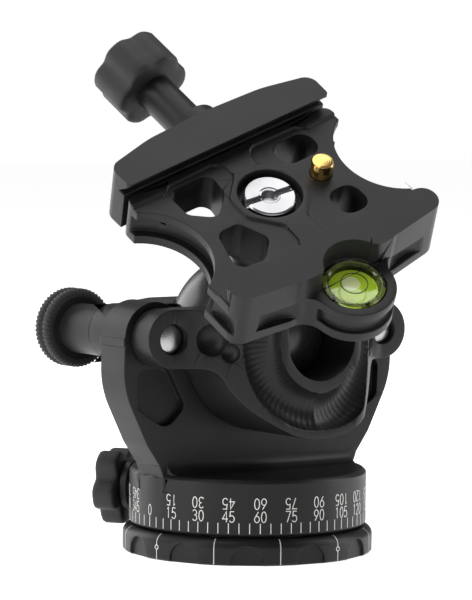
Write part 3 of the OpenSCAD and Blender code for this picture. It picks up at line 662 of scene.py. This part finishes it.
@dataclass
class Dial:
    """The drum's painted scale and the index lines on the base disc."""

    drum_r: float = 28.4
    drum_z: float = 6.6
    tick_gap: float = 0.75
    tick_h: float = 2.45
    digit_h: float = 2.5
    digit_w: float = 2.1
    advance: float = 1.62
    row_gap: float = 0.55
    stroke: float = 0.2
    number_step: int = 15
    zero_heading: float = 180.0
    base_r: float = 30.0
    base_h: float = 6.2
    base_round: float = 2.2
    index_turn: float = 9.0
    index_step: int = 30
    circle_every: int = 90
    circle_z: float = 3.1
    circle_r: float = 0.5
    index_foot: float = 0.3
    index_reach: float = 1.3
    tick_step: int = 5
    number_gap: float = 0.25
    paint_proud: float = 0.02

    def on_drum(self, s: float, t: float, depth: float) -> Vector:
        """Gives a point of the drum's paint.

        Args:
            s: Arc length from the zero line.
            t: Height.
            depth: 0 for the paint's face, 1 for its back.

        Returns:
            The point.
        """
        a = math.radians(self.zero_heading) + s / self.drum_r
        r = self.drum_r + (self.paint_proud if depth < 0.5 else -0.12)
        return Vector((r * math.cos(a), r * math.sin(a), t))

    def on_base(self, s: float, t: float, depth: float) -> Vector:
        """Gives a point of the paint on the base disc's rim.

        Args:
            s: Arc length round the rim.
            t: Length up the rim and over its rounded edge.
            depth: 0 for the paint's face, 1 for its back.

        Returns:
            The point.
        """
        straight = self.base_h - self.base_round
        lift = self.paint_proud if depth < 0.5 else -0.1
        a = s / self.base_r
        if t <= straight:
            r, z = self.base_r + lift, t
        else:
            turn = min((t - straight) / self.base_round, math.pi / 2)
            r = self.base_r - self.base_round + (self.base_round + lift) * math.cos(turn)
            z = straight + (self.base_round + lift) * math.sin(turn)
        return Vector((r * math.cos(a), r * math.sin(a), z))

    def number(self, shape: Shape, text: str, degrees: float, base: float, flip: bool) -> None:
        """Adds one number, upright or turned half round.

        Args:
            shape: The shape it joins.
            text: The digits.
            degrees: Its place on the scale.
            base: Height of the row's foot.
            flip: True for the row that reads upside down.
        """
        middle = math.radians(degrees) * self.drum_r
        total = self.advance * (len(text) - 1) + 0.6 * self.digit_w
        for k, letter in enumerate(text):
            for path in DIGITS[letter]:
                pts = []
                for u, v in path:
                    s = k * self.advance + u * self.digit_w - total / 2
                    t = v * self.digit_h
                    if flip:
                        s, t = -s, self.digit_h - t
                    pts.append((middle + s, base + t))
                ribbon(shape, pts, self.stroke, self.on_drum)

    def build(self) -> None:
        """Makes the scale on the drum and the index lines on the base disc."""
        low = self.drum_z + self.tick_gap
        marks = Shape()
        for degrees in range(0, 360, self.tick_step):
            s = math.radians(degrees) * self.drum_r
            ribbon(marks, [(s, low), (s, low + self.tick_h)], self.stroke, self.on_drum)
        for degrees in range(0, 360, self.number_step):
            foot = low + self.tick_h + self.number_gap
            self.number(marks, str(degrees), degrees, foot, False)
            if degrees:
                self.number(marks, str(degrees), degrees, foot + self.digit_h + self.row_gap, True)
        settle(marks.piece("dial_marks", PAINT), Body.HEAD, Slot.PRINT)
        lines = Shape()
        for k in range(0, 360, self.index_step):
            s = math.radians(k + self.index_turn) * self.base_r
            top = self.base_h - self.base_round + self.base_round * self.index_reach
            steps = [self.index_foot + (top - self.index_foot) * i / 12 for i in range(13)]
            if k % self.circle_every:
                ribbon(lines, [(s, t) for t in steps], self.stroke, self.on_base)
            else:
                middle, r = self.circle_z, self.circle_r
                ribbon(lines, [(s, self.index_foot), (s, middle - r)], self.stroke, self.on_base)
                ring = [(s + x, middle + y) for x, y in arc(0, 0, r, r, 0, 360, 20)]
                ribbon(lines, ring, self.stroke, self.on_base)
                upper = [middle + r + (top - middle - r) * i / 10 for i in range(11)]
                ribbon(lines, [(s, t) for t in upper], self.stroke, self.on_base)
        settle(lines.piece("index_lines", PAINT), Body.BASE, Slot.PRINT)


# ---------- Sub-assemblies ----------


@dataclass
class Base:
    """Base disc, its screws, the tripod insert and the fixed post."""

    edge: float = 0.2

    def build(self) -> None:
        """Makes the disc with broken edges and dresses the pieces inside it."""
        disc = machined("base_disc", "base_ring", [ANODISED, EDGE_WEAR_AND_HIGHLIGHT, DRUM], self.edge, tag=self.zone)
        settle(disc, Body.BASE, Slot.ANODISED, "base_disc")
        for node, finish in (
            ("base_screws", BLACK_STEEL), ("tripod_insert", STEEL),
            ("pan_post", STEEL), ("thrust_washer", POLYMER),
        ):
            paint_node(node, finish)

    def zone(self, centre: Vector, normal: Vector) -> int:
        """The rim is turned; the underside is plain."""
        return 2 if abs(normal.z) < 0.9 else 0


@dataclass
class Frame:
    """The drum with its U-shaped frame plate, and what is fixed to it."""

    drum_top: float = 19.9
    edge: float = 0.24

    def build(self) -> None:
        """Makes the frame with broken edges and dresses its fittings."""
        body = machined("main_frame", "frame_casting", [ANODISED, EDGE_WEAR_AND_HIGHLIGHT, DRUM], self.edge, tag=self.zone)
        settle(body, Body.HEAD, Slot.ANODISED, "main_frame")
        for node, finish in (
            ("pan_bush", BRONZE), ("retaining_screws", BLACK_STEEL), ("pivot_nut", BLACK_STEEL),
            ("tension_washer", STEEL), ("release_spring", STEEL), ("pan_brake_shoe", POLYMER),
        ):
            paint_node(node, finish)

    def zone(self, centre: Vector, normal: Vector) -> int:
        """The drum's wall is turned; everything else is milled and blasted."""
        return 2 if centre.z < self.drum_top and abs(normal.z) < 0.7 else 0


@dataclass
class Jaws:
    """Front and rear jaws with the bolts that cross them."""

    path_r: float = 16.95
    cutter_r: float = 4.6
    centre_y: float = -30.5
    tilt_deg: float = 11.5
    step_deg: float = 4.4
    scallop: float = 0.055
    jaw_face: float = 12.6
    bolt_r: float = 2.7
    bolt_sink: float = 1.2
    head_h: float = 2.15
    head_lip: float = 0.68
    tension_end: float = 29.5
    pivot_end: float = 16.9
    passes_deg: float = 96.0
    lead_deg: float = 1.0
    rings_per_pass: int = 6
    ring_sides: int = 40
    ridge_mean: float = 0.35
    milled_y: float = -14.0
    milled_from_r: float = 12.4
    milled_to_r: float = 22.4
    flat: float = 0.985

    def channel_cutter(self, side: int) -> bpy.types.Object:
        """A swept ball cutter whose passes leave scallops, for one side of the channel.

        Args:
            side: 1 for +X, -1 for -X.

        Returns:
            The closed cutter object.
        """
        shape = Shape()
        points, faces = [], []
        per_pass, sides = self.rings_per_pass, self.ring_sides
        rings = int(self.passes_deg / self.step_deg) * per_pass
        tilt = math.radians(self.tilt_deg)
        for i in range(rings + 1):
            t = math.radians(self.step_deg) * i / per_pass - math.radians(self.lead_deg)
            ridge = abs(math.sin(math.pi * i / per_pass))
            r = self.cutter_r + self.scallop * (ridge - self.ridge_mean)
            for j in range(sides):
                b = 2 * math.pi * j / sides
                reach = self.path_r + r * math.cos(b)
                x, z, out = reach * math.sin(t), -reach * math.cos(t), r * math.sin(b)
                across = side * (x * math.cos(tilt) - out * math.sin(tilt))
                y = x * math.sin(tilt) + out * math.cos(tilt)
                points.append((across, self.centre_y + y, BALL_CENTRE.z + z))
        for i in range(rings):
            for j in range(sides):
                k = (j + 1) % sides
                a, b = i * sides, (i + 1) * sides
                faces.append((a + j, b + j, b + k, a + k))
        faces.append(tuple(range(sides)))
        faces.append(tuple(rings * sides + j for j in reversed(range(sides))))
        shape.add(points, faces)
        return shape.piece("channel_cutter", MILLED)

    def in_channel(self, centre: Vector, normal: Vector) -> int:
        """The channel and its dimples are ball-milled; the rest is blasted.

        Args:
            centre: A face's centre.
            normal: Its normal.

        Returns:
            The face's material slot.
        """
        flat = abs(normal.y) > self.flat or abs(normal.z) > self.flat
        radius = math.hypot(centre.x, centre.z - BALL_CENTRE.z)
        in_ring = self.milled_from_r < radius < self.milled_to_r
        return 2 if centre.y < self.milled_y and not flat and in_ring and normal.y < -0.1 else 0

    def build(self) -> None:
        """Makes both jaws and the bright pin faces."""
        cutters = [self.channel_cutter(1), self.channel_cutter(-1)]
        front = machined("front_jaw", "front_bow", [ANODISED, EDGE_WEAR_AND_HIGHLIGHT, MILLED], 0.24, cutters, self.in_channel)
        settle(front, Body.YOKE, Slot.ANODISED, "front_jaw")
        rear = machined("rear_jaw", "rear_bow", [ANODISED, EDGE_WEAR_AND_HIGHLIGHT], 0.24)
        settle(rear, Body.HEAD, Slot.ANODISED, "rear_jaw")
        self.bolt("tension_bolt", "tension_stud", -PIVOT_X, self.tension_end, Body.YOKE)
        self.bolt("pivot_bolt", "pivot_stud", PIVOT_X, self.pivot_end, Body.HEAD)

    def bolt(self, node: str, name: str, x: float, end: float, body: Body) -> None:
        """Makes a headed bolt with a faced, slightly domed end.

        Args:
            node: The CAD node it stands for.
            name: The piece's name.
            x: Which side it is on.
            end: Where its plain end is, along +Y.
            body: The body it rides on.
        """
        face = -self.jaw_face + self.bolt_sink
        seat = face + self.head_h
        head = self.bolt_r + self.head_lip
        shape = Shape()
        shape.lathe(
            [(0, face), (head - 0.55, face + 0.03), (head - 0.12, face + 0.28), (head, face + 0.6),
             (head, seat), (self.bolt_r, seat + 0.02), (self.bolt_r, end - 0.4), (self.bolt_r - 0.4, end),
             (0, end)],
            along_y(x, 0, BALL_CENTRE.z), 72,
        )
        finish = Finish(
            name + "_face", PIN_FACE.dark, PIN_FACE.light, PIN_FACE.roughness, metallic=1.0, bump=0.003,
            rings=((x, 0, BALL_CENTRE.z), (0, 1, 0), 15000.0, 0.006),
        )
        settle(shape.piece(name, finish), body, Slot.STEEL, node)


@dataclass
class TensionKnob:
    """Round knob with two knurled rings, on its smooth hub."""

    hub_y: float = 13.7
    hub_r: float = 6.0
    grip_y: float = 26.8
    grip_w: float = 5.6
    grip_r: float = 9.5
    core_r: float = 7.5
    bore: float = 2.75
    thread_end: float = 29.9
    teeth: int = 54
    tooth: float = 0.34

    def knurl(self, rows: set) -> Callable[[float, int], float]:
        """Rounded teeth on some rows of the grip's profile.

        Args:
            rows: Rows of the profile that carry teeth.

        Returns:
            The change of radius by angle and row.
        """

        def tooth(a: float, row: int) -> float:
            """Depth of the knurl at an angle."""
            return -self.tooth * (0.5 + 0.5 * math.cos(self.teeth * a)) ** 2 if row in rows else 0.0

        return tooth

    def build(self) -> None:
        """Makes the hub, the knurled grip and the end cap."""
        z, y0, w, r = BALL_CENTRE.z, self.grip_y, self.grip_w, self.grip_r
        place = along_y(-PIVOT_X, 0, z)
        hub = Shape()
        hub.lathe(
            [(self.bore, self.hub_y), (self.hub_r - 0.35, self.hub_y), (self.hub_r, self.hub_y + 0.35),
             (self.hub_r, y0 - 0.02), (self.core_r - 0.05, y0), (self.core_r - 0.05, y0 + w - 1.45),
             (0, y0 + w - 1.45), (0, self.thread_end), (self.bore, self.thread_end)],
            place, 96,
        )
        settle(hub.piece("tension_sleeve", ANODISED), Body.TENSION, Slot.ANODISED, "tension_hub")
        profile = [
            (self.core_r, y0), (r - 1.0, y0), (r - 0.35, y0 + 0.16), (r, y0 + 0.5), (r, y0 + w * 0.36),
            (r - 0.3, y0 + w * 0.4), (r - 0.62, y0 + w * 0.44), (r - 0.34, y0 + w * 0.5),
            (r - 0.62, y0 + w * 0.56), (r - 0.3, y0 + w * 0.6), (r, y0 + w * 0.64),
            (r, y0 + w - 0.5), (r - 0.35, y0 + w - 0.16),
            (r - 1.0, y0 + w), (self.core_r, y0 + w),
        ]
        grip = Shape()
        grip.lathe(profile, place, self.teeth * 8, self.knurl({2, 3, 4, 5, 9, 10, 11, 12}))
        settle(grip.piece("tension_tyre", RUBBER, 50), Body.TENSION, Slot.RUBBER, "tension_grip")
        cap = Shape()
        end = y0 + w
        cap.lathe(
            [(0, end - 1.4), (self.core_r - 0.06, end - 1.4), (self.core_r - 0.06, end - 0.75),
             (self.core_r - 0.5, end - 0.45), (4.2, end - 0.45), (3.9, end - 0.7), (0, end - 0.7)],
            place, 96,
        )
        settle(cap.piece("tension_end", RUBBER), Body.TENSION, Slot.RUBBER, "tension_cap")


@dataclass
class LobedKnob:
    """A moulded knob with rounded lobes and a dished end."""

    name: str
    node: str
    body: Body
    place: Matrix
    outer: float
    valley: float
    lobes: int
    length: float
    bore: float
    bore_depth: float
    dish: float = 1.2
    sharp: float = 1.6
    sides_per_lobe: int = 28

    def radius_shift(self, weights: Sequence[float]) -> Callable[[float, int], float]:
        """Valleys between the lobes, by row.

        Args:
            weights: How much of the valley each profile row takes.

        Returns:
            The change of radius by angle and row.
        """
        depth = self.outer - self.valley

        def shift(a: float, row: int) -> float:
            """Depth of the valley at an angle."""
            wave = 0.5 - 0.5 * math.cos(self.lobes * a)
            return -depth * weights[row] * wave ** self.sharp

        return shift

    def build(self) -> None:
        """Makes the knob as one moulded piece."""
        r, n, e = self.outer - 0.02, self.length, 0.9
        rows = [
            (self.bore, 0.0, 0.0), (r - 2.6, 0.0, 0.5), (r - e, 0.12, 0.9), (r - e * 0.3, 0.38, 1.0),
            (r, e + 0.1, 1.0), (r, n * 0.35, 1.0), (r, n * 0.65, 1.0), (r, n - e - 0.1, 1.0),
            (r - e * 0.3, n - 0.38, 1.0),
            (r - e, n - 0.1, 0.9), (r - 1.9, n, 0.75), (r - 2.9, n - 0.25, 0.6),
            (r - 3.6, n - self.dish, 0.35), (2.2, n - self.dish - 0.2, 0.0), (0, n - self.dish - 0.2, 0.0),
            (0, self.bore_depth, 0.0), (self.bore, self.bore_depth, 0.0),
        ]
        profile = [(radius, height) for radius, height, _ in rows]
        weights = [weight for _, _, weight in rows]
        shape = Shape()
        shape.lathe(profile, self.place, self.lobes * self.sides_per_lobe, self.radius_shift(weights))
        settle(shape.piece(self.name, RUBBER, 48), self.body, Slot.RUBBER, self.node)


@dataclass
class BallAndStem:
    """The ball and the stem that stands on it."""

    ball_r: float = 19.0
    steps: int = 192
    rows: int = 96

    def build(self) -> None:
        """Makes a smooth ball and dresses the stem."""
        outline = [(0, -self.ball_r)]
        for i in range(1, self.rows):
            turn = math.pi * i / self.rows
            outline.append((self.ball_r * math.sin(turn), -self.ball_r * math.cos(turn)))
        outline.append((0, self.ball_r))
        ball = Shape()
        ball.lathe(outline, on_ball(), self.steps)
        settle(ball.piece("ball_shell", BALL_COAT), Body.BALL, Slot.BALL, "ball")
        stem = machined("stem", "stem_post", [ANODISED, EDGE_WEAR_AND_HIGHLIGHT], 0.2)
        settle(stem, Body.STEM, Slot.ANODISED, "stem")


@dataclass
class Clamp:
    """The plate clamp: body, sliding jaw, centre screw, drive and detent."""

    screw_r: float = 6.2
    screw_z: float = 43.66
    screw_h: float = 2.5
    slot_half: float = 0.9
    slot_depth: float = 1.1
    slot_turn_deg: float = -8.0
    socket_r: float = 1.9
    shank_r: float = 2.97
    shank_foot: float = 22.6
    pin_r: float = 2.6
    pin_top: float = 50.2
    pin_foot: float = 43.1
    half_l: float = 29.5
    near_lip: float = -19.6
    bed_z: float = 46.7
    top: float = 51.0
    end_round: float = 3.4
    end_steps: int = 10
    top_round: float = 0.6
    boss_top: float = 44.7
    level_wall: float = 7.8
    level_face: float = -29.1
    level_bend: float = 2.5

    def corner_cutters(self) -> list:
        """Closed cutters that round the near jaw's inner ends and the corners by the level."""
        r, lip, half = self.end_round, self.near_lip, self.half_l
        bend, wall = self.level_bend, self.level_wall
        cy = self.level_face + bend
        cx = math.sqrt((wall + bend) ** 2 - (cy - LEVEL_Y) ** 2)
        last = math.degrees(math.atan2(LEVEL_Y - cy, -cx))
        outlines = (
            (self.bed_z, [(half + 1, lip + 1), (half - r, lip + 1)]
                + arc(half - r, lip - r, r, r, 90, 0, self.end_steps) + [(half + 1, lip - r)]),
            (self.boss_top, [(wall - 2, cy - 1), (wall - 2, self.level_face - 1), (cx, self.level_face - 1)]
                + arc(cx, cy, bend, bend, -90, last, self.end_steps)),
        )
        tools = []
        for side in (-1, 1):
            for floor, outline in outlines:
                count = len(outline)
                tool = Shape()
                tool.add(
                    [(side * x, y, z) for z in (floor, self.top + 2) for x, y in outline],
                    [tuple(range(count)), tuple(range(2 * count - 1, count - 1, -1))]
                    + [(i, (i + 1) % count, count + (i + 1) % count, count + i) for i in range(count)],
                    on_clamp(),
                )
                tools.append(tool.piece("corner_cutter", ANODISED))
        return tools

    def round_tops(self, bm: bmesh.types.BMesh) -> None:
        """Rolls the outer edges of the jaw tops over.

        Args:
            bm: The copied mesh, in metres.
        """
        place = on_clamp().inverted()
        edges = []
        for edge in bm.edges:
            ends = [place @ (v.co / MM) for v in edge.verts]
            if len(edge.link_faces) != 2 or max(abs(p.z - self.top) for p in ends) > 0.02:
                continue
            if edge.calc_face_angle(0.0) > math.radians(40):
                edges.append(edge)
        bmesh.ops.bevel(
            bm, geom=edges, offset=self.top_round * MM, segments=5, profile=0.5, affect="EDGES",
            clamp_overlap=True,
        )

    def build(self) -> None:
        """Makes the clamp's pieces."""
        body = machined(
            "clamp_body", "clamp_plate", [ANODISED, EDGE_WEAR_AND_HIGHLIGHT], 0.3, self.corner_cutters(),
            reshape=self.round_tops,
        )
        settle(body, Body.CLAMP, Slot.ANODISED, "clamp_body")
        jaw = machined("moving_jaw", "clamp_slider", [ANODISED, EDGE_WEAR_AND_HIGHLIGHT], 0.3, reshape=self.round_tops)
        settle(jaw, Body.JAW, Slot.ANODISED, "moving_jaw")
        self.centre_screw()
        r, foot, top = self.pin_r, self.pin_foot, self.pin_top
        pin = Shape()
        pin.lathe(
            [(0, foot - 1), (r + 0.7, foot - 1), (r + 0.7, foot + 0.1), (r, foot + 0.12),
             (r, top - 0.55), (r - 0.18, top - 0.2), (r - 0.6, top - 0.02), (0, top)],
            on_clamp() @ Matrix.Translation((*DETENT_AT, 0)), 72,
        )
        settle(pin.piece("detent_button", BRASS), Body.DETENT, Slot.BRASS, "detent_pin")
        for node, finish in (
            ("clamp_knob_screw", ANODISED), ("clamp_knob_washer", STEEL), ("guide_pins", STEEL),
            ("jaw_springs", STEEL), ("stem_washer", STEEL), ("detent_spring", STEEL),
            ("detent_plug", BLACK_STEEL), ("pan_lock_screw", STEEL), ("pan_lock_hub", ANODISED),
        ):
            paint_node(node, finish)

    def centre_screw(self) -> None:
        """Makes the slotted screw with a round socket and raised slot floors."""
        foot, top = self.screw_z, self.screw_z + self.screw_h
        r, socket = self.screw_r, self.socket_r
        blank = Shape()
        blank.lathe(
            [(0, self.shank_foot), (self.shank_r, self.shank_foot), (self.shank_r, foot), (r - 0.4, foot),
             (r, foot + 0.4), (r, top - 0.45), (r - 0.45, top), (r - 1.2, top - 0.05), (2.6, top - 0.05),
             (2.3, top - 0.22), (socket + 0.12, top - 0.22), (socket, top - 0.4), (socket, top - 1.9),
             (0, top - 1.9)],
            on_clamp(), 120,
        )
        obj = blank.piece("screw_blank", SCREW)
        turn = on_clamp() @ Matrix.Rotation(math.radians(self.slot_turn_deg), 4, "Z")
        low, high = top - self.slot_depth, top + 1
        for side in (-1, 1):
            inner, outer = side * 1.2, side * 7.2
            for half, depth in ((self.slot_half, low), (self.slot_half * 0.45, low - 0.45)):
                cut = Shape()
                cut.add(
                    [(x, y, z) for x in (inner, outer) for y in (-half, half) for z in (depth, high)],
                    [(0, 1, 3, 2), (4, 6, 7, 5), (0, 4, 5, 1), (2, 3, 7, 6), (0, 2, 6, 4), (1, 5, 7, 3)],
                    turn,
                )
                obj = carved(obj, cut.piece("slot_tool", SCREW))
        mesh = obj.data.copy()
        bpy.data.objects.remove(obj)
        settle(finished("centre_screw", mesh, SCREW, 28), Body.CLAMP, Slot.STEEL, "clamp_screw")


@dataclass
class Level:
    """The round spirit level in the clamp's boss."""

    floor: float = 38.5
    top: float = 44.9
    vial_r: float = 7.4
    fluid_r: float = 5.7
    fluid_z: float = 40.3
    fluid_h: float = 2.9
    bubble: tuple = (0.5, 1.4)
    bubble_r: float = 2.2
    ring_r: float = 3.2

    def build(self) -> None:
        """Makes the vial, its seat, the fluid, the bubble and the printed ring."""
        place = on_clamp() @ Matrix.Translation((0, LEVEL_Y, 0))
        vial = Shape()
        z, top = self.floor + 1.0, self.top
        outer, inner = self.vial_r, self.fluid_r
        vial.lathe(
            [(0, z), (outer - 0.1, z), (outer, z + 0.1), (outer, top - 0.5), (outer - 0.15, top - 0.15),
             (outer - 0.5, top - 0.02), (inner + 0.5, top - 0.02), (inner + 0.1, top - 0.4),
             (inner + 0.02, z + 0.4), (0, z + 0.4)],
            place, 128,
        )
        settle(vial.piece("level_glass", CLEAR), Body.CLAMP, Slot.CLEAR, "level_vial")
        seat = Shape()
        seat.lathe(
            [(0, self.floor), (outer - 0.05, self.floor), (outer - 0.05, z - 0.15), (outer - 0.25, z - 0.02),
             (0, z - 0.02)],
            place, 96,
        )
        settle(seat.piece("level_dish", PALE), Body.CLAMP, Slot.PALE, "level_seat")
        fluid = Shape()
        f0, f1 = self.fluid_z, self.fluid_z + self.fluid_h
        fluid.lathe(
            [(0, f0), (inner - 0.3, f0), (inner, f0 + 0.3), (inner, f1 - 0.05), (0, f1)],
            place, 96,
        )
        settle(fluid.piece("level_spirit", SPIRIT), Body.CLAMP, Slot.GREEN, "level_fluid")
        bubble = Shape()
        bubble.lathe(
            [(0, f1 - 0.68), (1.3, f1 - 0.6), (1.9, f1 - 0.4), (self.bubble_r, f1 - 0.16),
             (self.bubble_r - 0.1, f1 + 0.02), (0, f1 + 0.02)],
            place @ Matrix.Translation((self.bubble[0], self.bubble[1], 0)), 72,
        )
        settle(bubble.piece("level_air_cell", AIR), Body.CLAMP, Slot.AIR, "level_bubble")
        ring = Shape()
        ring.lathe(
            [(self.ring_r - 0.2, top - 0.12), (self.ring_r, top - 0.12), (self.ring_r, top + 0.01),
             (self.ring_r - 0.2, top + 0.01)],
            place, 96,
        )
        settle(ring.piece("level_circle", INK), Body.CLAMP, Slot.PRINT, "level_ring")


# ---------- Studio ----------


@dataclass
class Studio:
    """Camera, floor, sky and soft lights."""

    azimuth: float = math.radians(-35.9)
    elevation: float = math.radians(4.032)
    roll: float = math.radians(0.567)
    eye: Vector = field(default_factory=lambda: Vector((-470.56, -644.53, 115.99)))
    focal: float = 200.715
    sensor: float = 36.0
    sweep_glow: float = 0.8
    sky_light: float = 0.2

    def camera(self) -> None:
        """Places the camera at the fitted view."""
        a, e = self.azimuth, self.elevation
        back = Vector((math.sin(a) * math.cos(e), -math.cos(a) * math.cos(e), math.sin(e)))
        side = Vector((math.cos(a), math.sin(a), 0))
        up = back.cross(side)
        c, s = math.cos(self.roll), math.sin(self.roll)
        side, up = side * c + up * s, up * c - side * s
        data = bpy.data.cameras.new("camera")
        data.lens = self.focal
        data.sensor_width = self.sensor
        data.clip_start = 0.01
        obj = bpy.data.objects.new("camera", data)
        turn = Matrix((side, up, back)).transposed().to_4x4()
        obj.matrix_world = Matrix.Translation(self.eye * MM) @ turn
        bpy.context.scene.collection.objects.link(obj)
        bpy.context.scene.camera = obj

    def softbox(self, name: str, at: tuple, size: tuple, power: float, aim: tuple = (0, 0, 0.055)) -> None:
        """Adds one soft area light.

        Args:
            name: The light's name.
            at: Its place, in metres.
            size: Its width and height.
            power: Its power in watts.
            aim: The point it faces.
        """
        data = bpy.data.lights.new(name, "AREA")
        data.shape = "RECTANGLE"
        data.size, data.size_y = size
        data.energy = power
        obj = bpy.data.objects.new(name, data)
        toward = Vector(aim) - Vector(at)
        obj.matrix_world = Matrix.Translation(at) @ toward.to_track_quat("-Z", "Y").to_matrix().to_4x4()
        bpy.context.scene.collection.objects.link(obj)

    def floor(self) -> None:
        """Adds the pale sweep that the part stands on."""
        shape = Shape()
        w, d = 3000.0, 2600.0
        shape.add([(-w, -w, 0), (w, -w, 0), (w, d, 0), (-w, d, 0)], [(0, 1, 2, 3)])
        finish = Finish(
            "white_sweep", (0.86, 0.86, 0.855), (0.88, 0.88, 0.875), 0.5, grain=200.0, tone=3.0, bump=0.0,
        )
        sweep = shape.piece("sweep", finish)
        shader = sweep.data.materials[0].node_tree.nodes["Principled BSDF"]
        shader.inputs["Emission Color"].default_value = (1.0, 1.0, 1.0, 1.0)
        shader.inputs["Emission Strength"].default_value = self.sweep_glow

    def sky(self) -> None:
        """A plain white surround, brighter behind the part than it lights it."""
        world = bpy.data.worlds.new("studio")
        world.use_nodes = True
        n, link = world.node_tree.nodes, world.node_tree.links
        n.clear()
        out = n.new("ShaderNodeOutputWorld")
        mix = n.new("ShaderNodeMixShader")
        seen = n.new("ShaderNodeBackground")
        seen.inputs["Color"].default_value = (1, 1, 1, 1)
        seen.inputs["Strength"].default_value = 1.0
        lit = n.new("ShaderNodeBackground")
        lit.inputs["Color"].default_value = (1, 1, 1, 1)
        lit.inputs["Strength"].default_value = self.sky_light
        path = n.new("ShaderNodeLightPath")
        link.new(path.outputs["Is Camera Ray"], mix.inputs["Fac"])
        link.new(lit.outputs["Background"], mix.inputs[1])
        link.new(seen.outputs["Background"], mix.inputs[2])
        link.new(mix.outputs["Shader"], out.inputs["Surface"])
        bpy.context.scene.world = world

    def build(self) -> None:
        """Sets up the view and the light."""
        self.camera()
        self.floor()
        self.sky()
        self.softbox("overhead", (-0.05, 0.10, 0.80), (0.9, 0.7), 4.6)
        self.softbox("left_strip", (-0.75, 0.05, 0.30), (0.25, 0.8), 2.6)
        self.softbox("right_strip", (0.62, -0.30, 0.28), (0.3, 0.8), 3.0)
        self.softbox("back_left", (-0.25, 0.75, 0.25), (0.7, 0.6), 3.6)
        bpy.context.scene.view_settings.view_transform = "Standard"


def main() -> None:
    """Builds every piece in order and reports it."""
    logging.basicConfig(level=logging.INFO, format="%(message)s")
    Studio().build()
    Base().build()
    Frame().build()
    Dial().build()
    Jaws().build()
    TensionKnob().build()
    LobedKnob(
        "pan_lock_star", "pan_lock_knob", Body.PAN_LOCK,
        on_pan_lock() @ Matrix.Translation((0, 0, PAN_LOCK_REACH)),
        outer=9.5, valley=7.2, lobes=5, length=6.0, bore=5.0, bore_depth=5.0, dish=0.7, sharp=1.9,
    ).build()
    LobedKnob(
        "clamp_grip", "clamp_knob_grip", Body.CLAMP_KNOB,
        on_clamp() @ along_y(*CLAMP_KNOB_AT),
        outer=9.8, valley=8.7, lobes=6, length=11.4, bore=3.6, bore_depth=9.4, dish=1.2, sharp=1.9,
    ).build()
    BallAndStem().build()
    Clamp().build()
    Level().build()


if __name__ == "__main__":
    main()
